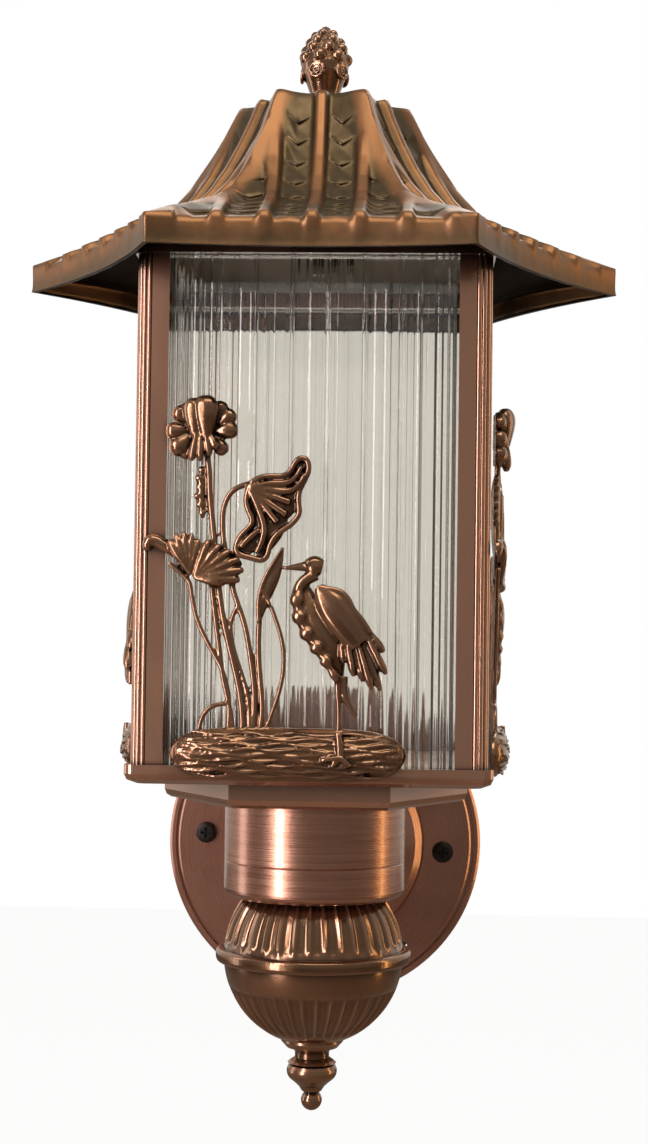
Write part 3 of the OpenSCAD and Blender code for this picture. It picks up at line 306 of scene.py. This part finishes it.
def make_globe_half(low, high, start, end, turn):
    """A sphere cut at latitudes low and high, fluted between start and end, with a wall inside it."""
    bpy.ops.object.select_all(action="DESELECT")
    bpy.ops.mesh.primitive_uv_sphere_add(
        segments=COLUMNS * FLUTES, ring_count=90, radius=GLOBE_R, location=GLOBE_MID,
        rotation=(0, 0, math.radians(turn)))
    half = bpy.context.object
    bpy.ops.object.transform_apply(location=True, rotation=True, scale=True)
    bpy.ops.object.mode_set(mode="EDIT")
    for lat, outer in ((low, False), (high, True)):
        cut = GLOBE_MID + Vector((0, 0, GLOBE_R * math.sin(math.radians(lat))))
        bpy.ops.mesh.select_all(action="SELECT")
        bpy.ops.mesh.bisect(
            plane_co=cut, plane_no=(0, 0, 1), clear_inner=not outer, clear_outer=outer, threshold=0.00001)

    def push(v):
        """How many steps a vertex is pushed in."""
        place = v.co - GLOBE_MID
        lat = math.degrees(math.asin(max(-1, min(1, place.z / place.length))))
        around = math.degrees(math.atan2(place.y, place.x)) - turn
        column = round(around * COLUMNS * FLUTES / 360) % COLUMNS
        edge = max(0, min(1, (lat - start) / FLUTE_FADE, (end - lat) / FLUTE_FADE))
        rounded = math.sqrt(edge * (2 - edge))
        return round(FLUTE_STEPS * FLUTE_SHARES[column] * rounded)

    for step in range(1, FLUTE_STEPS + 1):
        pick(lambda v: push(v) == step)
        k = 1 - FLUTE_DEEP * step / FLUTE_STEPS / GLOBE_R
        bpy.ops.transform.resize(value=(k, k, k), center_override=GLOBE_MID)
    bpy.ops.object.mode_set(mode="OBJECT")
    wall = half.modifiers.new("wall", "SOLIDIFY")
    wall.thickness, wall.offset = WALL, -1
    bpy.ops.object.modifier_apply(modifier="wall")
    bpy.ops.object.shade_smooth_by_angle(angle=math.radians(50))
    return half


# Dark antique cast copper: nearly black in the hollows, rubbed back to pinkish copper on the crests.
dark_cast, tree = start_material("antique_copper_cast_dark")
spot = object_place(tree)
clouds = noise(tree, spot, 55, 4)
shade = put(tree, "ShaderNodeAmbientOcclusion", {"Distance": 0.004}, samples=8)
crest = put(tree, "ShaderNodeNewGeometry")
rub = fit(tree, crest.outputs["Pointiness"], (0.49, 0.56))
worn = reckon(tree, "MULTIPLY", rub, 0.45)
open_air = fit(tree, shade.outputs["AO"], (0.55, 0.98))
patina = blend(tree, clouds, "#5a4436", "#a07654")
hollow = blend(tree, open_air, "#2a1d16", patina)
skin = blend(tree, worn, hollow, "#c99a80")
gloss = fit(tree, clouds, (0.3, 0.7), (0.16, 0.28))
pits = noise(tree, spot, 420)
grain = bump(tree, pits, 0.12, 0.0004)
surface(tree, {
    "Base Color": skin, "Roughness": gloss, "Normal": grain, "Metallic": 0.9,
    "Coat Weight": 0.5, "Coat Roughness": 0.08})

# The upper half carries the rolled rim; the lower half is turned by half a flute.
upper = make_globe_half(0, 40.75, 7.4, 47, 0)
bpy.ops.object.select_all(action="DESELECT")
bpy.ops.mesh.primitive_cylinder_add(
    vertices=128, radius=GLOBE_R + RIM_OUT, depth=RIM_H, end_fill_type="NOTHING", location=GLOBE_MID)
bpy.ops.object.transform_apply(location=True, rotation=True, scale=True)
bpy.ops.object.mode_set(mode="EDIT")
bpy.ops.mesh.select_all(action="SELECT")
bpy.ops.mesh.extrude_region_move()
k = (GLOBE_R + HAIR) / (GLOBE_R + RIM_OUT)
bpy.ops.transform.resize(value=(k, k, 1), center_override=GLOBE_MID)
bpy.ops.mesh.select_all(action="SELECT")
bpy.ops.mesh.normals_make_consistent(inside=False)
pick(lambda v: (v.co - GLOBE_MID).xy.length > GLOBE_R + RIM_OUT - HAIR)
bpy.ops.mesh.bevel(offset=RIM_ROUND, segments=5, affect="EDGES", offset_type="OFFSET")
bpy.ops.object.mode_set(mode="OBJECT")
bpy.ops.object.shade_smooth_by_angle(angle=math.radians(50))
upper.select_set(True)
bpy.context.view_layer.objects.active = upper
bpy.ops.object.join()
finish_piece(upper, "globe_upper_fluted", dark_cast, ["globe_upper"])
lower = make_globe_half(-67.95, 0, -57, -20, 180 / FLUTES)
finish_piece(lower, "globe_lower_fluted", dark_cast, ["globe_lower"])
dress(dark_cast, "drop_finial")

# Base, tray, posts and header: cast and extruded, one satin antique finish over all
# The finish is a brown patina with orange where it was wiped, and thin bright edges. Where other parts are
# close, as under the eave and in corners, it is painted near black as shade.
satin_copper, tree = start_material("antique_copper_satin")
spot = object_place(tree)
drawn = stretch(tree, spot, (1, 1, 0.25))
clouds = noise(tree, drawn, 45, 4, 0.6)
share = fit(tree, clouds, (0.32, 0.68))
patina = blend(tree, share, "#664634", "#90684c")
crest = put(tree, "ShaderNodeNewGeometry")
rub = fit(tree, crest.outputs["Pointiness"], (0.52, 0.6))
skin = blend(tree, rub, patina, "#c4937a")
# Painted shade: within a few centimetres of other parts, as on the header under the eave, the colour is
# mixed towards near black. The colour named worn carries this painted shade.
shade = put(tree, "ShaderNodeAmbientOcclusion", {"Distance": 0.03}, samples=8)
open_air = fit(tree, shade.outputs["AO"], (0.42, 0.8))
worn = blend(tree, open_air, "#1b110c", skin)
gloss = fit(tree, clouds, (0.3, 0.7), (0.2, 0.32))
surface(tree, {
    "Base Color": worn, "Roughness": gloss, "Metallic": 0.95,
    "Coat Weight": 1.0, "Coat Roughness": 0.05})
dress(satin_copper, "hex_base", "tray", "header_frame",
      "post_front_left", "post_front_right", "post_rear_left", "post_rear_right")

# Glazing: four panes of clear rolled glass with upright ribs, slid into the posts
# Rolling leaves fine uneven lines between the ribs, and the glass is very slightly grey.
ribbed_glass, tree = start_material("clear_rolled_glass")
spot = object_place(tree)
streaks = stretch(tree, spot, (330, 330, 0.15))
wave = noise(tree, streaks, 1.0, 1)
ripple = bump(tree, wave, 0.7, 0.0018)
pane = put(tree, "ShaderNodeBsdfPrincipled", {
    "Base Color": linear("#e6e3dc"), "Roughness": 0.03, "IOR": 1.5, "Transmission Weight": 1.0,
    "Normal": ripple})
rays = put(tree, "ShaderNodeLightPath")
clear = put(tree, "ShaderNodeBsdfTransparent", {"Color": linear("#eceae6")})
passed = put(tree, "ShaderNodeMixShader", {
    0: rays.outputs["Is Shadow Ray"], 1: pane.outputs[0], 2: clear.outputs[0]})
put(tree, "ShaderNodeOutputMaterial", {"Surface": passed.outputs[0]})
dress(ribbed_glass, "glass_front", "glass_rear", "glass_left", "glass_right")

# Ceiling: a grey pressed pan with the light bar and the two clear wire joints
# The pan has a powder coat with a fine orange peel.
grey_pan, tree = start_material("grey_powder_coat")
peel = noise(tree, object_place(tree), 650)
tone = blend(tree, peel, "#7b7f7a", "#90948f")
skin = bump(tree, peel, 0.15, 0.0003)
surface(tree, {"Base Color": tone, "Roughness": 0.45, "Normal": skin})
dress(grey_pan, "ceiling_pan")

# Satin aluminium, drawn along the light bar.
aluminium, tree = start_material("satin_aluminium")
run = stretch(tree, object_place(tree), (20, 1800, 1800))
brush = noise(tree, run, 1.0)
tone = blend(tree, brush, "#b9bbbd", "#dadcdd")
surface(tree, {"Base Color": tone, "Roughness": 0.35, "Metallic": 1.0})
dress(aluminium, "light_bar")

# Opal plastic of the lens.
opal, tree = start_material("opal_plastic")
haze = noise(tree, object_place(tree), 200)
tone = blend(tree, haze, "#e4e3de", "#f0efea")
surface(tree, {"Base Color": tone, "Roughness": 0.4})
dress(opal, "light_lens")

# Soft clear plastic of the wire joints.
clear_pvc, tree = start_material("clear_soft_plastic")
flow = noise(tree, object_place(tree), 380)
wobble = bump(tree, flow, 0.2, 0.0004)
surface(tree, {
    "Base Color": linear("#e9ebe8"), "Roughness": 0.12, "IOR": 1.5, "Transmission Weight": 0.9,
    "Normal": wobble})
dress(clear_pvc, "wire_joints")

# Roof: one hexagonal casting with ridges, hips and tiled channels
# Its ridges are rubbed to bright orange copper, and the channels keep a dark olive patina. Faces that look
# down, under the eave, are painted near black as shade.
roof_copper, tree = start_material("antique_copper_roof")
spot = object_place(tree)
clouds = noise(tree, spot, 38, 4, 0.6)
grain = noise(tree, spot, 260, 3)
rubbed = put(tree, "ShaderNodeAttribute", attribute_name="rubbed").outputs["Fac"]
lift = fit(tree, clouds, (0.3, 0.7), (-0.16, 0.16))
worn = reckon(tree, "ADD", rubbed, lift)
open_air = fit(tree, worn, (0.15, 0.8))
ridge = blend(tree, clouds, "#7d563c", "#a07752")
channel = blend(tree, grain, "#42382b", "#6b5b43")
top = blend(tree, open_air, channel, ridge)
# Painted shade: faces that look down are mixed towards near black, as if in shadow under the eave.
facing = put(tree, "ShaderNodeSeparateXYZ", {0: put(tree, "ShaderNodeNewGeometry").outputs["Normal"]})
below = fit(tree, facing.outputs["Z"], (-0.25, -0.45))
skin = blend(tree, below, top, "#140e0a")
gloss = fit(tree, clouds, (0.3, 0.7), (0.34, 0.5))
cast = bump(tree, grain, 0.10, 0.0006)
surface(tree, {"Base Color": skin, "Roughness": gloss, "Normal": cast, "Metallic": 0.9})


def choose(piece):
    """Make a piece the only selected one, and the active one."""
    bpy.ops.object.select_all(action="DESELECT")
    piece.select_set(True)
    bpy.context.view_layer.objects.active = piece


def copy_of(name):
    """A copy of a CAD node with its loose triangles merged, left in edit mode."""
    made = bpy.data.objects.new(name + "_fine", nodes[name].data.copy())
    scene.collection.objects.link(made)
    choose(made)
    bpy.ops.object.mode_set(mode="EDIT")
    bpy.ops.mesh.select_all(action="SELECT")
    bpy.ops.mesh.remove_doubles(threshold=0.00002)
    return made


roof = copy_of("roof_shell")
bpy.ops.mesh.tris_convert_to_quads(face_threshold=math.radians(40), shape_threshold=math.radians(60))
bpy.ops.mesh.select_all(action="DESELECT")
bpy.ops.mesh.edges_select_sharp(sharpness=math.radians(48))
bpy.ops.transform.edge_crease(value=0.5)
bpy.ops.object.mode_set(mode="OBJECT")
finer = roof.modifiers.new("finer", "SUBSURF")
finer.levels = finer.render_levels = 2
bpy.ops.object.modifier_apply(modifier="finer")
bpy.ops.object.shade_smooth_by_angle(angle=math.radians(42))

# How much each spot is rubbed: the crests of ridges and hips above the brim, and the edge of the eave.
# Each side of the roof has its own u along the eave and v out from the axis, and a hip lies 30
# degrees off that v at both ends of the eave.
PITCH, RIDGE_HALF, HIP_HALF = 0.0182, 0.0036, 0.0070
BRIM_V, EDGE_V, EDGE_Z = 0.070, 0.1084, 0.2547
HIP_SIN, HIP_COS = 0.5, 0.866


def ease(x):
    """A soft step from 0 to 1."""
    x = max(0.0, min(1.0, x))
    return x * x * (3 - 2 * x)


def rubbed_at(point):
    """The share of bright copper at a point of the roof."""
    place = point - AXIS
    side = round(math.degrees(math.atan2(place.x, -place.y)) / 60)
    turn = math.radians(60 * side)
    u = place.x * math.cos(turn) + place.y * math.sin(turn)
    v = place.x * math.sin(turn) - place.y * math.cos(turn)
    gap = min(abs(u - k * PITCH) for k in range(-3, 4))
    hip = max(0.0, v * HIP_SIN - abs(u) * HIP_COS)
    crest = max(ease(1.25 - gap / RIDGE_HALF), ease(1.15 - hip / HIP_HALF))
    crest *= 0.25 + 0.75 * ease((BRIM_V + 0.022 - v) / 0.018)
    edge = ease((v - EDGE_V + 0.012) / 0.003) * (0.34 + 0.4 * ease((place.z - EDGE_Z + 0.006) / 0.007))
    return max(crest, edge)


spots = roof.data.attributes.new("rubbed", "FLOAT", "POINT")
spots.data.foreach_set("value", [rubbed_at(v.co) for v in roof.data.vertices])
finish_piece(roof, "roof_tiled", roof_copper, ["roof_shell"])

# Bud finial: a cast bud of scales and scrolls that screws down on the rod over the roof
# The copy of its solid is remeshed finely and smoothed, as a worn casting is.
bud = copy_of("bud_finial")
bpy.ops.object.mode_set(mode="OBJECT")
bud.data.remesh_voxel_size = 0.0004
bpy.ops.object.voxel_remesh()
soften = bud.modifiers.new("soften", "SMOOTH")
soften.factor, soften.iterations = 0.5, 4
bpy.ops.object.modifier_apply(modifier="soften")
bpy.ops.object.shade_smooth()
finish_piece(bud, "bud_finial_cast", dark_cast, ["bud_finial"])

# Castings: a lotus pond with a crane on the front and on both sides, lugged to the tray
# Each form is a tapering bar laid along its own line; all are fused, smoothed like a worn casting
# and sliced flat behind, and the finished front casting is turned to the two sides.
TRAY_HALF, TRAY_Z, RELIEF_UP = 0.073, 0.0394, 0.0016
FACE_Y, FOOT_Z = AXIS_Y - TRAY_HALF, TRAY_Z + RELIEF_UP


def on_face(across, up, out=0.0):
    """A place on the casting, in metres, from millimetres across, up and out from its flat back."""
    return Vector((across / 1000, FACE_Y - out / 1000, FOOT_Z + up / 1000))


def bar(points, flat=1.0, out=0.0):
    """A bar through [across, up, half width, own out] points in mm. Its depth over its width is flat,
    and the whole bar is then moved out from the face."""
    curve = bpy.data.curves.new("bar", "CURVE")
    curve.dimensions = "3D"
    curve.bevel_depth, curve.bevel_resolution, curve.resolution_u = 0.001, 3, 6
    curve.use_fill_caps = True
    line = curve.splines.new("NURBS")
    line.points.add(len(points) - 1)
    line.use_endpoint_u, line.order_u = True, 3
    for spot, (across, up, half, *own_out) in zip(line.points, points):
        spot.co = (*on_face(across, up, *own_out), 1)
        spot.radius = half
    made = bpy.data.objects.new("bar", curve)
    scene.collection.objects.link(made)
    choose(made)
    bpy.ops.object.convert(target="MESH")
    made = bpy.context.object
    bpy.ops.object.mode_set(mode="EDIT")
    bpy.ops.mesh.select_all(action="SELECT")
    bpy.ops.transform.resize(value=(1, flat, 1), center_override=on_face(0, 0))
    if out:
        bpy.ops.transform.translate(value=(0, -out / 1000, 0))
    bpy.ops.object.mode_set(mode="OBJECT")
    return made


def petal(root, tip, half, flat=1.0, out=0.0):
    """A bar that swells from its root and rounds off at its tip."""
    (x0, z0), (x1, z1) = root, tip
    marks = ((0, 0.4), (0.3, 0.8), (0.65, 1.1), (0.9, 0.95), (1, 0.45))
    return bar([(x0 + (x1 - x0) * t, z0 + (z1 - z0) * t, half * k) for t, k in marks], flat, out)


forms = []
# The pond: a thick slab with rounded ends, and fine wavy ripples that follow its face. Its middle
# is as high up as its half height, so it stands on the foot of the casting.
POND_MID, POND_HALF, POND_UP, POND_FLAT = -8, 46.5, 11, 0.72
RIPPLE_ROWS, RIPPLE_STEPS, RIPPLE_LOW, RIPPLE_PITCH, RIPPLE_IN = 9, 30, 2.9, 2.02, 3


def pond_half(across):
    """Half the height of the pond at a place across."""
    return POND_UP * math.sqrt(max(0.0, 1 - abs((across - POND_MID) / POND_HALF) ** 5))


forms.append(bar([(x, POND_UP, max(0.8, pond_half(x))) for x in (
    POND_MID + POND_HALF * math.sin(math.radians(turn)) for turn in range(-90, 91, 10))], POND_FLAT))
for row in range(RIPPLE_ROWS):
    up = RIPPLE_LOW + RIPPLE_PITCH * row
    ripple = []
    for k in range(RIPPLE_STEPS + 1):
        across = POND_MID - POND_HALF + RIPPLE_IN + (2 * POND_HALF - 2 * RIPPLE_IN) * k / RIPPLE_STEPS
        lift = 1 - ((up - POND_UP) / max(1, pond_half(across) + 0.3)) ** 2
        if lift > 0.05:
            sway = 0.55 * math.sin(0.9 * k + 2.3 * row)
            half = 0.55 + 0.3 * math.sin(1.3 * k + 1.7 * row)
            face = pond_half(across) * POND_FLAT * math.sqrt(lift) - 0.1
            ripple.append((across, up + sway, half, face))
    forms.append(bar(ripple))
# Stems: round rods that bundle where they leave the pond.
for half, points in (
        (1.35, [(-41.5, 130), (-40.2, 122), (-40.1, 113.6), (-39.1, 104.7), (-37.9, 94), (-36.1, 77),
                (-34.1, 64), (-30.2, 48.6), (-27, 36), (-25.6, 24), (-25.5, 12)]),
        (1.2, [(-24, 117.3), (-28.5, 116.2), (-31.8, 113.6), (-34.2, 109.2), (-35, 102.6), (-34, 92),
               (-30.3, 75.6), (-28.4, 70), (-25, 61), (-22.3, 45), (-21, 33), (-21.4, 24), (-21.3, 12)]),
        (1.1, [(-39.1, 80), (-37.1, 64), (-35.1, 51), (-34, 42), (-31.8, 33), (-29.5, 22), (-29.1, 12)]),
        (1.0, [(-55.8, 85.8), (-50.6, 81.4), (-47.2, 78.4), (-46.5, 72.4), (-44.3, 62.8), (-39.3, 53.3),
               (-35, 46), (-32.2, 39), (-30.9, 31), (-31.5, 12)]),
        (0.95, [(-28.4, 69), (-31, 64.2), (-30.9, 57), (-28.4, 48), (-24, 36), (-22.6, 24), (-23.4, 12)]),
        (1.2, [(-19.6, 64), (-20.1, 57), (-19.6, 45), (-17.9, 30), (-18.7, 21), (-19.5, 12)]),
        (0.95, [(-15.2, 69), (-11.7, 60.2), (-9.8, 51.3), (-10, 42.3), (-12, 33.3), (-16, 22.4),
                (-19, 13)]),
        (1.0, [(-43, 19), (-42.5, 24), (-39.5, 28.7), (-35.4, 30.5), (-31.3, 30.8)])):
    forms.append(bar([(x, z, half) for x, z in points], 1.0, 1.6))
# Lotus: rounded petals spread behind two upright ones, with pointed sepals folded down to the stem.
forms.append(bar([(-44, 132, 2.5), (-44, 138, 5.5), (-43.6, 146, 3)], 0.6, 1))
for root, tip, half in (((-38.6, 141), (-35.2, 149.6), 3.2), ((-38, 140), (-30.4, 145.4), 3.1),
                        ((-39.4, 138), (-29.2, 138.4), 3.4), ((-40, 136), (-33.8, 129), 3.0),
                        ((-48, 141), (-54.4, 146.6), 3.3), ((-48.6, 138.4), (-57.6, 137.4), 3.5),
                        ((-47, 136.6), (-55.2, 129.2), 3.8), ((-47.6, 142), (-50.4, 149), 2.8),
                        ((-46, 134), (-51, 127), 2.4)):
    forms.append(petal(root, tip, half, 0.9, 1.6))
forms.append(petal((-45.8, 135), (-46.8, 150.6), 4.0, 0.8, 4))
forms.append(petal((-41.4, 135), (-41.8, 151.6), 4.9, 0.8, 4.6))
for root, tip in (((-45.3, 137), (-47.2, 125.6)), ((-43.6, 137), (-43.6, 125.6)),
                  ((-41.8, 137), (-39.9, 127.6)), ((-40.4, 137), (-37, 130.4))):
    forms.append(petal(root, tip, 1.6, 1.2, 5))
# The crinkled pod beside the stem.
forms.append(bar([(-43.2, 124, 0.8), (-43.8, 114, 2.6), (-42.6, 103.5, 0.8)], 1, 0.8))
for across, up, half in ((-43.2, 122.4, 1.5), (-43.9, 119, 1.9), (-43.4, 115.6, 1.9), (-44.2, 112, 2),
                         (-43.4, 108.6, 1.8), (-42.8, 105.4, 1.3)):
    crinkle = [(across - half, up, 1.1), (across, up + 0.4, 1.8), (across + half, up, 1.1)]
    forms.append(bar(crinkle, 1.2, 0.8))
# Fan leaf: upright ribs on its left half and spreading ribs on its right, over a thin web.
for tip in ((-55.8, 94.6), (-53.2, 97), (-50, 97.9), (-46.8, 97.4), (-44, 95.2)):
    forms.append(petal((-47, 81), tip, 1.7, 1.3, 3))
for tip in ((-40, 94.8), (-35.6, 93), (-31.4, 90.8), (-28, 87.4), (-26, 83.2), (-27.4, 79.2),
            (-33.4, 77.8)):
    forms.append(petal((-45.6, 80), tip, 2.0, 1.3, 3))
forms.append(bar([(-47, 82, 3), (-49.5, 90, 6.4), (-50, 95, 3)], 0.28, 0.8))
forms.append(bar([(-44, 82, 3), (-37, 85.5, 7.4), (-31, 84.5, 6.5), (-28, 83, 3)], 0.28, 0.8))
forms.append(bar([(-53, 89, 1.6), (-58, 92.5, 2.4), (-62, 95, 2.6), (-65, 93.5, 2.4), (-64.5, 90.5, 1.4)],
                 1.0, 0.8))
# Curled leaf: a rolled rim around a hollow web, ribs that fan out from the stem, and a hooked tip.
forms.append(bar([(x, z, 1.25) for x, z in (
    (-24, 117), (-20.8, 119.6), (-15.9, 120.2), (-10.9, 119.9), (-7.9, 122.2), (-6.8, 125), (-4.6, 127.6),
    (-1.6, 127), (-0.7, 122.8), (-2.6, 118.6), (-4.7, 114.5), (-5, 110), (-4.1, 105.7), (-6.8, 101.8),
    (-10.6, 99.2), (-13.9, 96.7), (-16, 92.8), (-16.8, 88.4), (-19.2, 86.7), (-22.6, 87.8), (-28, 89),
    (-29.6, 91.6), (-27.7, 96.4), (-23.9, 99.9), (-22.5, 102.7), (-24.8, 107), (-25.8, 111.5),
    (-24, 117))], 1.0, 3.6))
for points, flat in (([(-24, 114, 2), (-19, 112, 8), (-13, 111, 11), (-7.5, 110, 9), (-5, 109, 3)], 0.24),
                     ([(-10, 116, 4), (-5, 119, 3.8), (-3.4, 123, 3), (-3.4, 126, 1.4)], 0.4),
                     ([(-15, 108, 7), (-16.5, 101, 7.6), (-18.5, 94, 5.4), (-19.4, 88.6, 2)], 0.24),
                     ([(-24, 113, 2), (-23.6, 107, 2.6), (-21, 101, 2.6)], 0.5),
                     ([(-19, 97, 4), (-24.5, 93, 5.4), (-28.4, 91.2, 2)], 0.3)):
    forms.append(bar(points, flat, 2))
for points in ([(-24, 116, 0.7), (-17.5, 117.4, 1.3), (-10, 117, 1.5), (-5.6, 119.5, 1.2),
                (-3.8, 124, 0.9)],
               [(-24, 115.7, 0.7), (-17, 115, 1.3), (-9, 113.6, 1.5), (-4.6, 116.6, 1.1), (-2.4, 121, 0.9)],
               [(-24, 115.4, 0.7), (-17, 112.6, 1.3), (-8, 109.8, 1.5)],
               [(-24, 115.1, 0.7), (-18, 110.4, 1.3), (-9.6, 105, 1.5)],
               [(-24, 114.8, 0.7), (-19, 109, 1.3), (-13, 102, 1.5)],
               [(-24.2, 114.5, 0.7), (-20.8, 108, 1.3), (-18, 101, 1.5), (-18.4, 95, 1.4),
                (-21, 90, 1)],
               [(-20, 99, 1.2), (-24.6, 95.4, 1.5), (-27.4, 92, 1)]):
    forms.append(bar(points, 1.0, 4.4))
# The slender folded leaf beside the crane: a blade, its turned edge and a crease.
forms.append(bar([(-10.9, 92.5, 0.6), (-13, 84, 2.6), (-16.5, 76, 3), (-19.2, 69, 2.4), (-19.6, 63.5, 0.9)],
                 0.8, 1))
forms.append(bar([(-11, 92, 0.5), (-15.6, 84.5, 0.9), (-19.3, 76.5, 1), (-20.6, 68, 0.9), (-19.8, 63, 0.9)],
                 1.0, 2.4))
forms.append(bar([(-18.6, 75.5, 0.8), (-15.4, 69.5, 0.8)], 1.0, 2.6))
# Crane: rounded body, a scalloped ridge down the breast, a smooth wing and long feathers over it.
forms.append(bar([(-3, 77, 3), (-2, 70, 6.2), (2.5, 63, 7.6), (7, 55, 7), (10.5, 47, 4.5),
                  (12, 41, 1.6)], 0.8))
forms.append(bar([(-4, 75.4, 1.2), (-5.2, 72, 4), (-4, 68.4, 1.4), (-4, 65.2, 4), (-2, 61.8, 1.4),
                  (-0.9, 58.6, 4), (1.4, 56, 1.4), (3.2, 53.2, 3.9), (5.2, 50.6, 1.3), (6.9, 47.8, 3.3),
                  (8.4, 45.2, 1.1), (10, 42.6, 2.3), (11.4, 40, 1)], 1.0, 3.6))
forms.append(bar([(3.5, 77, 2), (7, 72, 6), (11.5, 66, 7), (16, 60, 6.4), (20, 54.5, 5)], 0.5, 4.4))
forms.append(bar([(3, 76.6, 1), (11, 76, 1.4), (15, 72.6, 1.4), (17, 68, 1.3), (21, 64, 1.2),
                  (24, 59, 1.2)], 1.0, 4.6))
for root, tip, out in (((12.4, 58), (13.6, 47), 3.4), ((14.4, 58), (17.8, 42), 4.6),
                       ((16.4, 58), (21.4, 40), 3.4), ((18.4, 58), (24.8, 37), 4.8),
                       ((20.4, 58), (28.2, 36.6), 3.6), ((21.8, 59), (30.4, 43), 4.8),
                       ((22.4, 61), (29.4, 51.6), 3.6)):
    forms.append(petal(root, tip, 1.65, 1.3, out))
# Neck, head, beak and eye.
forms.append(bar([(-5, 73, 2.6), (-4, 77.5, 2.5), (-0.8, 80.3, 2.5), (2.4, 82, 2.8)], 1.1, 2))
forms.append(bar([(-1.8, 84.8, 2.6), (1.8, 85.2, 6), (5, 84.4, 3)], 0.8, 2.2))
forms.append(bar([(-10.3, 84.1, 0.7), (-6, 84.4, 1.3), (-2, 84.9, 2)], 1.0, 2.4))
forms.append(bar([(-1.2, 86, 1.2), (-0.4, 86.2, 1.4), (0.2, 86, 0.9)], 1.0, 4.8))
# Legs, and the toes of the standing one.
forms.append(bar([(11.4, 42, 1.7), (11.8, 31.4, 1), (12, 21, 1.1), (13, 9, 1.8)], 1.0, 2))
forms.append(bar([(12, 20, 1.3), (12.8, 14, 1.7), (13.2, 9, 1.9)], 1.0, 7.2))
forms.append(bar([(13.9, 42, 1.7), (13.4, 35, 1.8), (15.9, 31, 1.3), (18.5, 26.4, 0.9)], 1.0, 1.6))
for across, up in ((5.6, 9.4), (9.4, 6.8), (17, 7.2)):
    knuckle = ((across + 13) / 2, (up + 10.8) / 2, 1.2)
    forms.append(bar([(13, 10.5, 1.2), knuckle, (across, up, 0.8)], 1.0, 8.4))

# All the forms are fused and smoothed.
VOXEL, QUICK_VOXEL = 0.00062, 0.0009
bpy.ops.object.select_all(action="DESELECT")
for form in forms:
    form.select_set(True)
casting = forms[0]
bpy.context.view_layer.objects.active = casting
bpy.ops.object.join()
casting.data.remesh_voxel_size = VOXEL
bpy.ops.object.voxel_remesh()
soften = casting.modifiers.new("soften", "SMOOTH")
soften.factor, soften.iterations = 0.5, 3
bpy.ops.object.modifier_apply(modifier="soften")
bpy.ops.object.mode_set(mode="EDIT")
bpy.ops.mesh.select_all(action="SELECT")
bpy.ops.mesh.bisect(plane_co=on_face(0, 0), plane_no=(0, 1, 0), use_fill=True, clear_outer=True)
bpy.ops.object.mode_set(mode="OBJECT")
# The two round lugs that sit in the tray: sizes in metres, places in millimetres on the casting.
LUG_R, LUG_LONG, LUG_UP, LUG_IN = 0.0015, 0.0065, 2.7, 1.7
for across in (-30, 20):
    bpy.ops.mesh.primitive_cylinder_add(
        vertices=24, radius=LUG_R, depth=LUG_LONG, rotation=(math.radians(90), 0, 0),
        location=on_face(across, LUG_UP, -LUG_IN))
    bpy.ops.object.transform_apply(location=True, rotation=True, scale=True)
    casting.select_set(True)
    bpy.context.view_layer.objects.active = casting
    bpy.ops.object.join()
bpy.ops.object.shade_smooth_by_angle(angle=math.radians(60))
# The twins on the two sides.
for name, turn in (("left", -90), ("right", 90)):
    twin = bpy.data.objects.new("casting_" + name, casting.data.copy())
    scene.collection.objects.link(twin)
    choose(twin)
    bpy.ops.object.mode_set(mode="EDIT")
    bpy.ops.mesh.select_all(action="SELECT")
    bpy.ops.transform.rotate(value=math.radians(-turn), orient_axis="Z", center_override=AXIS)
    bpy.ops.object.mode_set(mode="OBJECT")
    finish_piece(twin, "casting_" + name, dark_cast, ["relief_" + name])
finish_piece(casting, "casting_front", dark_cast, ["relief_front"])
